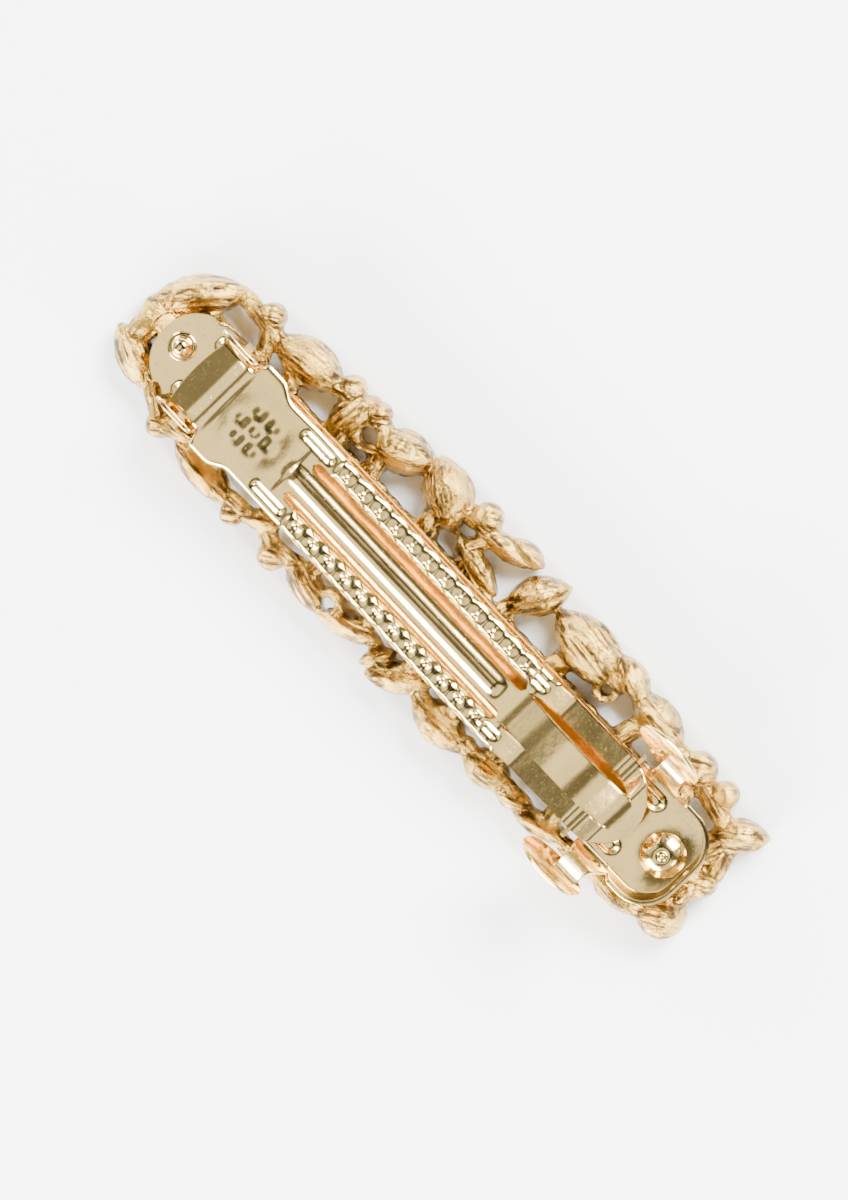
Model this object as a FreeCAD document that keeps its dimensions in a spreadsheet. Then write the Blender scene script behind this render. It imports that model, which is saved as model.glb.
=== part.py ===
import FreeCAD, Part
import Sketcher
import math
import os

# A French-clip barrette, lying on its crystals with the clip on top.
# X runs from the hinge to the clasp, Y across, Z up; the origin is under the middle.
# Lengths are in millimetres and angles in degrees.

SIZES = {
    # heights of the stack, from the crystals' tables up
    "casting_front": 0.9,
    "casting_middle": 2.6,
    "casting_shoulder": 2.9,
    "casting_foot_radius": 2.6,
    # hidden bars of the casting behind the clip
    "spine_start": -37.0,
    "spine_end": 36.5,
    "spine_radius": 1.1,
    "bridge_half_width": 1.2,
    "bridge_lift": 0.3,
    "least_step_rise": 0.1,
    "base_bottom": 5.2,
    "base_sheet": 0.5,
    # the clip lies a little to one side of the ornament's middle
    "clip_side_shift": -0.7,
    # base plate
    "base_hinge_end": -39.1,
    "base_clasp_end": 38.8,
    "base_half_width": 5.0,
    "base_end_round": 3.2,
    "rib_start": -34.3,
    "rib_end": 32.7,
    "rib_side": 3.3,
    "rib_half_width": 1.0,
    "rib_height": 0.4,
    "rib_slope": 30.0,
    "bowl_start": 33.9,
    "bowl_height": 2.3,
    "bowl_wall": 0.5,
    "ear_start": -34.3,
    "ear_end": -29.1,
    "ear_inner_side": 4.65,
    "ear_sheet": 0.5,
    "ear_height": 3.9,
    "ear_round": 1.5,
    # hinge line, measured from the underside of the base plate
    "hinge_place": -31.0,
    "hinge_height": 3.4,
    "lug_radius": 0.55,
    "lug_hole_radius": 0.61,
    "lug_reach": 6.1,
    # rivets
    "hinge_rivet_place": -36.5,
    "clasp_rivet_place": 36.2,
    "rivet_hole_radius": 1.05,
    "rivet_shank_radius": 1.0,
    "rivet_flange": 0.25,
    "hinge_rivet_flange_radius": 1.6,
    "hinge_rivet_ball_radius": 1.1,
    "clasp_rivet_flange_radius": 2.1,
    "clasp_rivet_dome_height": 1.0,
    "rivet_depth": 1.7,
    # clamp arm, heights measured from the underside of the base plate
    "arm_sheet": 0.5,
    "arm_half_sheet": 0.25,
    "arm_height": 3.75,
    "arm_half_width": 5.0,
    "head_half_width": 6.1,
    "flap_bulge": 0.5,
    "head_start": -28.5,
    "head_end": -25.6,
    "head_taper_end": -24.3,
    "flap_end": -33.7,
    "flap_height": 2.85,
    "flap_fold": -30.8,
    "flap_fold_height": 3.3,
    "head_fold": -29.6,
    "flap_half_width": 4.35,
    "rail_end": 15.2,
    "strip_inner_side": 2.9,
    "strip_height": 2.0,
    "strip_step_end": 18.6,
    "strip_rise_start": 26.9,
    "tip_start": 29.5,
    "tip_end": 32.2,
    "tip_height": 3.4,
    "tongue_half_width": 2.55,
    "tongue_start": 14.6,
    "tongue_height": 5.0,
    "tongue_rise_end": 16.6,
    "tongue_crease": 26.3,
    "slot_start": -17.0,
    "slot_end": 13.4,
    "slot_side": 2.1,
    "slot_half_width": 0.6,
    "centre_rib_start": -18.5,
    "centre_rib_end": 12.0,
    "centre_rib_half_width": 1.25,
    "centre_rib_height": 0.25,
    "tooth_first": -14.4,
    "tooth_pitch": 2.43,
    "tooth_count": 12,
    "tooth_side": 3.7,
    "tooth_radius": 0.85,
    "tooth_depth": 0.8,
    "pit_radius": 0.5,
    "pit_depth": 0.3,
    "dimple_place": -24.4,
    "dimple_radius": 0.75,
    "dimple_circle": 1.9,
    "dimple_depth": 0.25,
    "catch_lug_place": 27.55,
    "catch_lug_half_length": 0.3,
    "catch_lug_reach": 6.1,
    "catch_lug_root": 0.5,
    "hinge_notch_half_length": 1.0,
    "hinge_notch_inset": 0.6,
    # release wings, heights measured from the underside of the base plate
    "wing_foot_side": 5.3,
    "wing_start": 28.2,
    "wing_end": 33.4,
    "wing_sheet": 0.45,
    "wing_foot_gap": 0.08,
    "wing_neck_height": 3.2,
    "wing_neck_side": 6.1,
    "wing_disc_place": 29.05,
    "wing_disc_half_length": 4.05,
    "wing_disc_half_height": 2.3,
    "wing_disc_side": 8.5,
    "wing_disc_height": 5.1,
    "wing_lean": 28.0,
    # crystals
    "crown_height": 0.75,
    "girdle_height": 0.25,
    "pavilion_height": 0.8,
    "table_share": 0.62,
    "culet_share": 0.45,
    "navette_length_share": 0.66,
    "navette_width_share": 0.6,
    "round_share": 0.66,
    "seat_clearance": 0.04,
    "seat_floor_gap": 0.02,
    "seat_overcut": 0.2,
    "pave_radius": 0.55,
    "pave_depth": 0.4,
    "pave_taper": 0.6,
    "pave_reach_share": 0.24,
}

# Leaves of the casting: name, middle x, middle y, length, width, heading.
UPPER_LEAVES = [
    ("arch", -39.4, 3.7, 11.4, 4.6, 50),
    ("second", -26.3, 7.2, 9.5, 5.2, 8),
    ("third", -19.2, 6.6, 7.0, 4.5, 80),
    ("fourth", -12.7, 7.9, 8.0, 5.0, 25),
    ("fifth", -6.4, 8.2, 8.5, 5.8, -35),
    ("band", 2.0, 8.9, 8.0, 2.6, 12),
    ("inner", 1.0, 5.4, 8.0, 2.4, -12),
    ("lobe", 4.0, 10.2, 4.5, 2.2, 0),
    ("sixth", 7.8, 7.7, 7.8, 4.4, 60),
    ("seventh", 15.5, 7.8, 11.0, 6.0, -5),
    ("eighth", 21.0, 9.0, 6.0, 3.2, -20),
    ("ninth", 25.8, 7.9, 8.4, 4.4, -5),
    ("horn", 40.3, 5.8, 6.8, 3.8, 40),
]
LOWER_LEAVES = [
    ("drop", -39.6, -5.8, 8.4, 4.2, -18),
    ("low_second", -26.0, -9.0, 9.4, 3.8, -3),
    ("low_third", -18.0, -8.0, 5.0, 2.6, 30),
    ("low_fourth", -10.0, -9.3, 7.6, 3.4, -14),
    ("low_fifth", -4.0, -9.0, 9.0, 3.2, 16),
    ("low_point", 0.7, -9.1, 4.5, 2.0, 60),
    ("low_sixth", 3.9, -8.9, 8.0, 3.6, 38),
    ("low_seventh", 10.3, -9.2, 8.2, 4.4, 0),
    ("low_eighth", 17.1, -8.8, 6.5, 4.2, 10),
    ("low_ninth", 21.3, -8.9, 4.5, 2.4, 25),
    ("low_tenth", 25.4, -8.7, 7.5, 2.8, 15),
    ("low_eleventh", 35.3, -8.0, 7.0, 2.8, 0),
]
# Leaves behind the clip: a row that leans to and fro.
CENTRE_ROW = {
    "first": -35.0,
    "last": 36.0,
    "count": 13,
    "length": 9.0,
    "width": 4.8,
    "heading": 38.0,
}
# Beads of the casting: name, x, y, radius.
BEADS = [
    ("top_a", -32.5, 7.8, 1.5),
    ("top_b", -21.2, 8.8, 1.4),
    ("top_c", -17.3, 8.9, 1.3),
    ("top_d", -1.7, 9.6, 1.7),
    ("cup", 32.4, 7.5, 2.0),
    ("top_e", 36.2, 7.7, 1.5),
    ("end_a", 41.2, -0.4, 1.6),
    ("end_b", 40.6, -5.9, 2.7),
    ("start_a", -41.4, -0.6, 1.8),
    ("low_a", -32.8, -8.9, 1.5),
    ("low_b", -20.7, -9.8, 1.3),
    ("low_c", -14.6, -9.8, 1.6),
]
# Stems that tie the leaves and beads together: x, y of both ends, and radius.
STEMS = [
    (-35.6, 7.2, -29.6, 6.6, 1.0),
    (-32.2, 7.6, -29.8, 3.4, 0.9),
    (-36.2, -6.5, -33.0, -8.3, 1.1),
    (-32.5, -8.2, -29.0, -7.6, 1.0),
    (-26.3, 6.0, -26.0, 3.0, 1.2),
    (-22.8, 7.6, -20.2, 8.2, 1.0),
    (-18.8, 6.0, -18.6, 3.0, 1.3),
    (-16.0, 8.2, -13.8, 7.4, 1.2),
    (-14.2, 6.6, -13.4, 3.0, 1.2),
    (-6.0, 6.8, -5.0, 3.0, 1.4),
    (-3.4, 8.6, -0.6, 9.0, 1.1),
    (0.2, 8.6, -1.2, 5.6, 0.9),
    (0.0, 5.2, 0.4, 3.0, 1.0),
    (6.9, 6.2, 6.2, 3.0, 1.1),
    (14.6, 5.8, 14.0, 3.0, 1.3),
    (24.8, 6.4, 24.0, 3.0, 1.2),
    (28.6, 7.2, 31.6, 7.2, 1.2),
    (32.6, 6.4, 33.4, 3.0, 1.2),
    (33.6, 6.8, 39.6, 5.4, 1.1),
    (39.6, 4.0, 38.4, 1.4, 1.5),
    (38.2, -0.6, 41.0, -0.2, 1.4),
    (36.6, -5.0, 39.6, -5.2, 1.5),
    (40.6, -3.6, 40.8, 0.0, 1.0),
    (40.6, 3.6, 41.4, 1.2, 1.0),
    (35.2, -7.6, 33.8, -4.4, 1.2),
    (37.6, -7.4, 39.4, -6.4, 1.2),
    (-38.6, -0.8, -41.0, -0.6, 1.6),
    (-41.2, 0.4, -41.0, 2.4, 1.3),
    (-41.2, -1.4, -41.0, -4.4, 1.5),
    (-37.0, -4.4, -35.8, -3.8, 1.4),
    (-26.0, -7.4, -25.6, -4.4, 1.2),
    (-22.2, -8.8, -19.6, -8.6, 1.0),
    (-18.2, -7.2, -18.0, -4.4, 1.0),
    (-16.6, -8.4, -15.0, -9.0, 1.0),
    (-14.4, -8.8, -12.0, -8.4, 1.0),
    (-10.4, -8.0, -10.6, -4.4, 1.0),
    (-2.6, -8.0, -2.4, -4.4, 1.0),
    (4.0, -8.2, 4.6, -4.4, 1.2),
    (6.4, -8.4, 7.6, -8.6, 1.0),
    (10.4, -7.6, 10.6, -4.4, 1.3),
    (13.6, -8.6, 14.6, -8.6, 1.1),
    (17.0, -7.6, 17.0, -4.4, 1.2),
    (19.6, -8.4, 22.6, -8.6, 1.0),
    (25.6, -8.0, 25.0, -4.4, 1.1),
    (28.6, -8.2, 32.4, -7.8, 1.0),
]
# Small eyelets of the casting: x, y, outer radius, inner radius.
EYELETS = [
    (-16.4, 6.7, 1.9, 1.0),
    (19.7, 6.4, 1.5, 0.7),
    (-6.8, -8.8, 1.7, 0.8),
]
SPINE_SIDES = (3.0, -4.4)
NAVETTE_LEAST_WIDTH = 3.5
# Steps on a leaf's back: share of the leaf's outline, rise as a share of its width.
LEAF_STEPS = ((0.8, 0.36), (0.52, 0.47))
# Steps on a bead: share of its radius, rise as a share of its radius.
BEAD_STEPS = ((0.8, 0.6), (0.45, 0.9))
# Where bars cross behind the clip, along X.
BRIDGE_PLACES = (-22.0, -8.0, 6.0, 20.0)


# ---- document and sheet ----

doc = FreeCAD.newDocument("barrette")
sheet = doc.addObject("Spreadsheet::Sheet", "sizes")


def fill_sheet():
    for row, (name, number) in enumerate(SIZES.items(), start=1):
        sheet.set(f"A{row}", name)
        sheet.set(f"B{row}", str(number))
        sheet.setAlias(f"B{row}", name)
    doc.recompute()


def size(name):
    return float(sheet.get(name))


def words_of(formula):
    """Sizes in a sum such as 'base_sheet + rib_height' or '- slot_side', with their signs."""
    sign = 1.0
    for word in formula.split():
        if word in ("+", "-"):
            sign = 1.0 if word == "+" else -1.0
        else:
            yield sign, word
            sign = 1.0


def value_of(formula):
    total = 0.0
    for sign, word in words_of(formula):
        total += sign * (size(word) if word in SIZES else float(word))
    return total


def expression_of(formula):
    pieces = []
    for sign, word in words_of(formula):
        pieces.append(("+ " if sign > 0 else "- ") + (f"sizes.{word}" if word in SIZES else word))
    return "0 " + " ".join(pieces)


# ---- helpers for bodies and sketches ----

def new_body(name, side="clip_side_shift", height="base_bottom"):
    body = doc.addObject("PartDesign::Body", name)
    body.Label = name
    body.setExpression("Placement.Base.y", expression_of(side))
    body.setExpression("Placement.Base.z", expression_of(height))
    return body


def origin_plane(body, role):
    return [item for item in body.Origin.OriginFeatures if item.Role == role][0]


def new_sketch(body, name, role="XY_Plane", lift="0"):
    sketch = body.newObject("Sketcher::SketchObject", f"{body.Name}_{name}")
    sketch.AttachmentSupport = (origin_plane(body, role), [""])
    sketch.MapMode = "FlatFace"
    sketch.setExpression("AttachmentOffset.Base.z", expression_of(lift))
    return sketch


def place_point(sketch, edge, end, across, up):
    """Hold one end of an edge at a place given by two formulas."""
    for kind, formula in (("DistanceX", across), ("DistanceY", up)):
        number = sketch.addConstraint(
            Sketcher.Constraint(kind, -1, 1, edge, end, value_of(formula)))
        sketch.setExpression(f"Constraints[{number}]", expression_of(formula))


def add_outline(sketch, corners):
    """A closed outline of straight edges; each corner is a pair of formulas."""
    points = [FreeCAD.Vector(value_of(a), value_of(b), 0) for a, b in corners]
    edges = []
    for start, end in zip(points, points[1:] + points[:1]):
        edges.append(sketch.addGeometry(Part.LineSegment(start, end)))
    for edge, following in zip(edges, edges[1:] + edges[:1]):
        sketch.addConstraint(Sketcher.Constraint("Coincident", edge, 2, following, 1))
    for edge, (across, up) in zip(edges, corners):
        place_point(sketch, edge, 1, across, up)


def add_circle(sketch, across, up, radius):
    middle = FreeCAD.Vector(value_of(across), value_of(up), 0)
    circle = Part.Circle(middle, FreeCAD.Vector(0, 0, 1), value_of(radius))
    edge = sketch.addGeometry(circle)
    place_point(sketch, edge, 3, across, up)
    number = sketch.addConstraint(Sketcher.Constraint("Radius", edge, value_of(radius)))
    sketch.setExpression(f"Constraints[{number}]", expression_of(radius))


def add_plain_circle(sketch, across, up, radius):
    middle = FreeCAD.Vector(across, up, 0)
    sketch.addGeometry(Part.Circle(middle, FreeCAD.Vector(0, 0, 1), radius))


def add_slot(sketch, start, end, side, half_width):
    """A round-ended slot along X."""
    first, last = value_of(start), value_of(end)
    middle, reach = value_of(side), value_of(half_width)
    up = FreeCAD.Vector(0, 0, 1)
    quarter = math.pi / 2
    left = Part.ArcOfCircle(
        Part.Circle(FreeCAD.Vector(first, middle, 0), up, reach), quarter, 3 * quarter)
    right = Part.ArcOfCircle(
        Part.Circle(FreeCAD.Vector(last, middle, 0), up, reach), -quarter, quarter)
    top = Part.LineSegment(FreeCAD.Vector(last, middle + reach, 0),
                           FreeCAD.Vector(first, middle + reach, 0))
    bottom = Part.LineSegment(FreeCAD.Vector(first, middle - reach, 0),
                              FreeCAD.Vector(last, middle - reach, 0))
    a, b, c, d = [sketch.addGeometry(item) for item in (right, top, left, bottom)]
    for one, following in ((a, b), (b, c), (c, d), (d, a)):
        sketch.addConstraint(Sketcher.Constraint("Tangent", one, 2, following, 1))
    place_point(sketch, c, 3, start, side)
    place_point(sketch, a, 3, end, side)
    number = sketch.addConstraint(Sketcher.Constraint("Radius", a, reach))
    sketch.setExpression(f"Constraints[{number}]", expression_of(half_width))


def add_feature(body, kind, name, sketch):
    feature = body.newObject(f"PartDesign::{kind}", f"{body.Name}_{name}")
    feature.Profile = sketch
    sketch.Visibility = False
    return feature


def pad(body, name, sketch, length, reverse=False, middle=False, slope=None):
    feature = add_feature(body, "Pad", name, sketch)
    feature.setExpression("Length", expression_of(length))
    feature.Reversed = reverse
    feature.Midplane = middle
    if slope:
        feature.setExpression("TaperAngle", f"- ({expression_of(slope)})")
    doc.recompute()
    return feature


def pocket(body, name, sketch, depth=None, reverse=False, through=False):
    """Cut away a sketch's area, and make sure that something was cut."""
    before = body.Shape.Volume
    feature = add_feature(body, "Pocket", name, sketch)
    if through:
        feature.Type = "ThroughAll"
        feature.Midplane = True
    else:
        feature.setExpression("Length", expression_of(depth))
        feature.Reversed = reverse
    doc.recompute()
    if body.Shape.Volume > before - 1e-4:
        raise ValueError(f"{body.Name} {name} cuts nothing")
    return feature


def round_edges(body, name, chooser, radius):
    """Round the edges of the body's last feature that the chooser picks."""
    base = body.Tip
    names = [f"Edge{number}" for number, edge in enumerate(base.Shape.Edges, start=1)
             if chooser(edge)]
    if not names:
        raise ValueError(f"{body.Name} {name} rounds nothing")
    feature = body.newObject("PartDesign::Fillet", f"{body.Name}_{name}")
    feature.Base = (base, names)
    feature.setExpression("Radius", expression_of(radius))
    doc.recompute()
    return feature


def runs_along(edge, direction):
    if not isinstance(edge.Curve, Part.Line):
        return False
    return abs(abs(edge.Curve.Direction.dot(direction)) - 1) < 1e-6


# ---- base plate ----

def make_base_plate():
    body = new_body("base_plate")
    strip = new_sketch(body, "strip_plan")
    add_outline(strip, [
        ("base_hinge_end", "- base_half_width"),
        ("base_clasp_end", "- base_half_width"),
        ("base_clasp_end", "base_half_width"),
        ("base_hinge_end", "base_half_width"),
    ])
    pad(body, "strip", strip, "base_sheet")
    upward = FreeCAD.Vector(0, 0, 1)
    round_edges(body, "ends", lambda edge: runs_along(edge, upward), "base_end_round")
    add_bowl_wall(body)
    add_ribs(body)
    add_ears(body)
    holes = new_sketch(body, "rivet_holes_plan")
    add_circle(holes, "hinge_rivet_place", "0", "rivet_hole_radius")
    add_circle(holes, "clasp_rivet_place", "0", "rivet_hole_radius")
    pocket(body, "rivet_holes", holes, through=True)
    return body


def add_bowl_wall(body):
    """The wall that stands round the clasp end like a bowl's rim."""
    outer_end, side = value_of("base_clasp_end"), value_of("base_half_width")
    wall, turn = value_of("bowl_wall"), value_of("base_end_round")
    start = value_of("bowl_start")
    sketch = new_sketch(body, "bowl_plan", lift="base_sheet")
    outer = bowl_line(start, outer_end, side, turn)
    inner = bowl_line(start, outer_end - wall, side - wall, turn - wall)
    close_start = Part.LineSegment(outer[0].StartPoint, inner[0].StartPoint)
    close_end = Part.LineSegment(outer[-1].EndPoint, inner[-1].EndPoint)
    for curve in outer + inner + [close_start, close_end]:
        sketch.addGeometry(curve)
    pad(body, "bowl", sketch, "bowl_height")


def bowl_line(start, end, side, turn):
    corner = math.cos(math.radians(45)) * turn
    near = FreeCAD.Vector(end - turn, -side, 0)
    bend = FreeCAD.Vector(end - turn + corner, -side + turn - corner, 0)
    far = FreeCAD.Vector(end, -side + turn, 0)
    first = Part.LineSegment(FreeCAD.Vector(start, -side, 0), near)
    turn_in = Part.Arc(near, bend, far)
    across = Part.LineSegment(far, FreeCAD.Vector(end, side - turn, 0))
    turn_out = Part.Arc(FreeCAD.Vector(end, side - turn, 0),
                        FreeCAD.Vector(bend.x, -bend.y, 0),
                        FreeCAD.Vector(near.x, side, 0))
    last = Part.LineSegment(FreeCAD.Vector(near.x, side, 0), FreeCAD.Vector(start, side, 0))
    return [first, turn_in, across, turn_out, last]


def add_ribs(body):
    """Two ribs pressed up along the strip, hollow underneath."""
    top = new_sketch(body, "ribs_plan", lift="base_sheet")
    for side in ("rib_side", "- rib_side"):
        add_slot(top, "rib_start", "rib_end", side, "rib_half_width")
    pad(body, "ribs", top, "rib_height", slope="rib_slope")
    under = new_sketch(body, "rib_hollows_plan")
    for side in ("rib_side", "- rib_side"):
        add_slot(under, "rib_start", "rib_end", side, "rib_half_width - rib_height")
    pocket(body, "rib_hollows", under, "rib_height", reverse=True)


def add_ears(body):
    """Two upright ears with the holes that carry the arm's hinge lugs."""
    lengthwise = FreeCAD.Vector(0, 1, 0)
    for name, lift in (("ear_left", "- ear_inner_side - ear_sheet"),
                       ("ear_right", "ear_inner_side")):
        side = new_sketch(body, f"{name}_side", "XZ_Plane", lift)
        add_outline(side, [
            ("ear_start", "base_sheet - 0.1"),
            ("ear_end", "base_sheet - 0.1"),
            ("ear_end", "base_sheet + ear_height"),
            ("ear_start", "base_sheet + ear_height"),
        ])
        pad(body, name, side, "ear_sheet")
    crown = value_of("base_sheet + ear_height")
    round_edges(body, "ear_tops", lambda edge: runs_along(edge, lengthwise)
                and edge.BoundBox.ZMin > crown - 0.01, "ear_round")
    holes = new_sketch(body, "lug_holes_side", "XZ_Plane")
    add_circle(holes, "hinge_place", "hinge_height", "lug_hole_radius")
    pocket(body, "lug_holes", holes, through=True)


# ---- clamp arm ----

def sheet_corners(middle_line):
    """Both faces of a bent sheet, from its middle line of (place, height) formulas."""
    upper = [(across, f"{up} + arm_half_sheet") for across, up in middle_line]
    lower = [(across, f"{up} - arm_half_sheet") for across, up in reversed(middle_line)]
    return upper + lower


def make_clamp_arm():
    body = new_body("clamp_arm")
    add_side_strips(body)
    add_main_sheet(body)
    add_tongue(body)
    trim_plan(body)
    add_lugs(body)
    add_slots(body)
    add_teeth(body)
    add_dimples(body)
    return body


def pad_across(body, name, middle_lines, half_width):
    side = new_sketch(body, f"{name}_side", "XZ_Plane")
    for middle_line in middle_lines:
        add_outline(side, sheet_corners(middle_line))
    return pad(body, name, side, f"{half_width} + {half_width}", middle=True)


def add_side_strips(body):
    """The strips that step down from the rails and rise again to the tip."""
    pad_across(body, "strips", [[
        ("tongue_start", "arm_height"),
        ("rail_end", "arm_height"),
        ("strip_step_end", "strip_height"),
        ("strip_rise_start", "strip_height"),
        ("tip_start", "tip_height"),
        ("tip_end", "tip_height"),
    ]], "arm_half_width")
    gap = new_sketch(body, "strip_gap_plan")
    add_outline(gap, [
        ("rail_end", "- strip_inner_side"),
        ("tip_start - 0.4", "- strip_inner_side"),
        ("tip_start - 0.4", "strip_inner_side"),
        ("rail_end", "strip_inner_side"),
    ])
    pocket(body, "strip_gap", gap, through=True)


def add_main_sheet(body):
    """The flap behind the hinge, the head, and the sheet that carries the rails."""
    pad_across(body, "sheet", [[
        ("flap_end", "flap_height"),
        ("flap_fold", "flap_fold_height"),
        ("head_fold", "arm_height"),
        ("rail_end", "arm_height"),
    ]], "head_half_width")


def add_tongue(body):
    """The bridge that arches over the clasp and runs into the tip."""
    pad_across(body, "tongue", [[
        ("tongue_start", "arm_height"),
        ("tongue_rise_end", "tongue_height"),
        ("tongue_crease", "tongue_height"),
        ("tip_start", "tip_height"),
        ("tip_end", "tip_height"),
    ]], "tongue_half_width")


def trim_plan(body):
    """Cut the sheet to its outline, seen from above."""
    frame = new_sketch(body, "outline_plan")
    margin = 2.0
    far = value_of("tip_end") + margin
    near = value_of("flap_end") - margin
    out = value_of("head_half_width") + margin
    box = [FreeCAD.Vector(near, -out, 0), FreeCAD.Vector(far, -out, 0),
           FreeCAD.Vector(far, out, 0), FreeCAD.Vector(near, out, 0)]
    for start, end in zip(box, box[1:] + box[:1]):
        frame.addGeometry(Part.LineSegment(start, end))
    for curve in arm_outline():
        frame.addGeometry(curve)
    pocket(body, "outline", frame, through=True)


def arm_outline():
    flap, head = value_of("flap_half_width"), value_of("head_half_width")
    half, tip = value_of("arm_half_width"), value_of("tip_end")
    round_start = tip - half
    bulge = value_of("flap_bulge")
    side = [
        FreeCAD.Vector(value_of("flap_end") + bulge, flap, 0),
        FreeCAD.Vector(value_of("head_start"), flap, 0),
        FreeCAD.Vector(value_of("head_start"), head, 0),
        FreeCAD.Vector(value_of("head_end"), head, 0),
        FreeCAD.Vector(value_of("head_taper_end"), half, 0),
        FreeCAD.Vector(round_start, half, 0),
    ]
    other = [FreeCAD.Vector(point.x, -point.y, 0) for point in side]
    curves = [Part.LineSegment(a, b) for a, b in zip(side, side[1:])]
    curves += [Part.LineSegment(a, b) for a, b in zip(other, other[1:])]
    curves.append(Part.Arc(side[-1], FreeCAD.Vector(tip, 0, 0), other[-1]))
    curves.append(Part.Arc(other[0], FreeCAD.Vector(value_of("flap_end"), 0, 0), side[0]))
    return curves


def add_lugs(body):
    """Round hinge lugs beside the flap, and flat catch lugs beside the clasp."""
    pins = new_sketch(body, "hinge_lugs_side", "XZ_Plane")
    add_circle(pins, "hinge_place", "hinge_height", "lug_radius")
    pad(body, "hinge_lugs", pins, "lug_reach + lug_reach", middle=True)
    between = new_sketch(body, "lug_clearance_plan", lift="flap_fold_height + arm_half_sheet")
    add_outline(between, [
        ("hinge_place - hinge_notch_half_length", "hinge_notch_inset - flap_half_width"),
        ("hinge_place + hinge_notch_half_length", "hinge_notch_inset - flap_half_width"),
        ("hinge_place + hinge_notch_half_length", "flap_half_width - hinge_notch_inset"),
        ("hinge_place - hinge_notch_half_length", "flap_half_width - hinge_notch_inset"),
    ])
    pocket(body, "lug_clearance", between, "arm_sheet + arm_sheet", reverse=True)
    flat = new_sketch(body, "catch_lugs_plan", lift="strip_height")
    add_outline(flat, [
        ("catch_lug_place - catch_lug_half_length", "- catch_lug_reach"),
        ("catch_lug_place + catch_lug_half_length", "- catch_lug_reach"),
        ("catch_lug_place + catch_lug_half_length", "catch_lug_root - arm_half_width"),
        ("catch_lug_place - catch_lug_half_length", "catch_lug_root - arm_half_width"),
    ])
    add_outline(flat, [
        ("catch_lug_place - catch_lug_half_length", "arm_half_width - catch_lug_root"),
        ("catch_lug_place + catch_lug_half_length", "arm_half_width - catch_lug_root"),
        ("catch_lug_place + catch_lug_half_length", "catch_lug_reach"),
        ("catch_lug_place - catch_lug_half_length", "catch_lug_reach"),
    ])
    pad(body, "catch_lugs", flat, "arm_sheet")


def add_slots(body):
    """Two long slots with a raised rib between them."""
    rib = new_sketch(body, "centre_rib_plan", lift="arm_height + arm_half_sheet")
    add_slot(rib, "centre_rib_start", "centre_rib_end", "0", "centre_rib_half_width")
    pad(body, "centre_rib", rib, "centre_rib_height", slope="rib_slope")
    holes = new_sketch(body, "slots_plan")
    for side in ("slot_side", "- slot_side"):
        add_slot(holes, "slot_start", "slot_end", side, "slot_half_width")
    pocket(body, "slots", holes, through=True)


def add_teeth(body):
    """Teeth punched down from both rails, each with its pit on top."""
    teeth = new_sketch(body, "teeth_plan", lift="arm_height")
    pits = new_sketch(body, "pits_plan", lift="arm_height + arm_half_sheet")
    for number in range(int(size("tooth_count"))):
        place = size("tooth_first") + number * size("tooth_pitch")
        for side in (size("tooth_side"), -size("tooth_side")):
            add_plain_circle(teeth, place, side, size("tooth_radius"))
            add_plain_circle(pits, place, side, size("pit_radius"))
    pad(body, "teeth", teeth, "tooth_depth + arm_half_sheet", reverse=True)
    pocket(body, "pits", pits, "pit_depth")


def add_dimples(body):
    """A flower of seven dimples in the head."""
    sketch = new_sketch(body, "dimples_plan", lift="arm_height + arm_half_sheet")
    add_plain_circle(sketch, size("dimple_place"), 0, size("dimple_radius"))
    for step in range(6):
        angle = math.radians(60 * step)
        add_plain_circle(sketch, size("dimple_place") + math.cos(angle) * size("dimple_circle"),
                         math.sin(angle) * size("dimple_circle"), size("dimple_radius"))
    pocket(body, "dimples", sketch, "dimple_depth")


# ---- release wings ----

def make_release_wing(name, out):
    """A wall that leans out from the base's edge and carries an oval finger disc."""
    body = new_body(name)
    sign = "" if out > 0 else "- "
    outer = "+ wing_sheet" if out > 0 else "- wing_sheet"
    foot = "base_sheet + wing_foot_gap"
    wall = new_sketch(body, "wall_end", "YZ_Plane", "wing_start")
    add_outline(wall, [
        (f"{sign}wing_foot_side", foot),
        (f"{sign}wing_neck_side", "wing_neck_height"),
        (f"{sign}wing_disc_side", "wing_disc_height"),
        (f"{sign}wing_disc_side {outer}", "wing_disc_height - wing_sheet"),
        (f"{sign}wing_neck_side {outer}", "wing_neck_height - wing_sheet"),
        (f"{sign}wing_foot_side {outer}", foot),
    ])
    pad(body, "wall", wall, "wing_end - wing_start")
    disc = new_sketch(body, "disc_face", "XZ_Plane")
    disc.AttachmentOffset = FreeCAD.Placement(
        FreeCAD.Vector(size("wing_disc_place"), size("wing_disc_height"), 0),
        FreeCAD.Rotation(FreeCAD.Vector(1, 0, 0), -out * size("wing_lean")))
    disc.setExpression("AttachmentOffset.Base.z", f"{-out} * sizes.wing_disc_side")
    disc.addGeometry(Part.Ellipse(
        FreeCAD.Vector(0, 0, 0), size("wing_disc_half_length"), size("wing_disc_half_height")))
    pad(body, "disc", disc, "wing_sheet", middle=True)


# ---- rivets ----

def make_rivet(name, place, corners):
    """A rivet turned about its own axis: a shank, a flange and a head."""
    body = new_body(name)
    body.setExpression("Placement.Base.x", expression_of(place))
    half = new_sketch(body, "half", "XZ_Plane")
    add_outline(half, corners)
    turned = add_feature(body, "Revolution", "turned", half)
    turned.ReferenceAxis = (half, ["V_Axis"])
    turned.Angle = 360
    doc.recompute()


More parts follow.
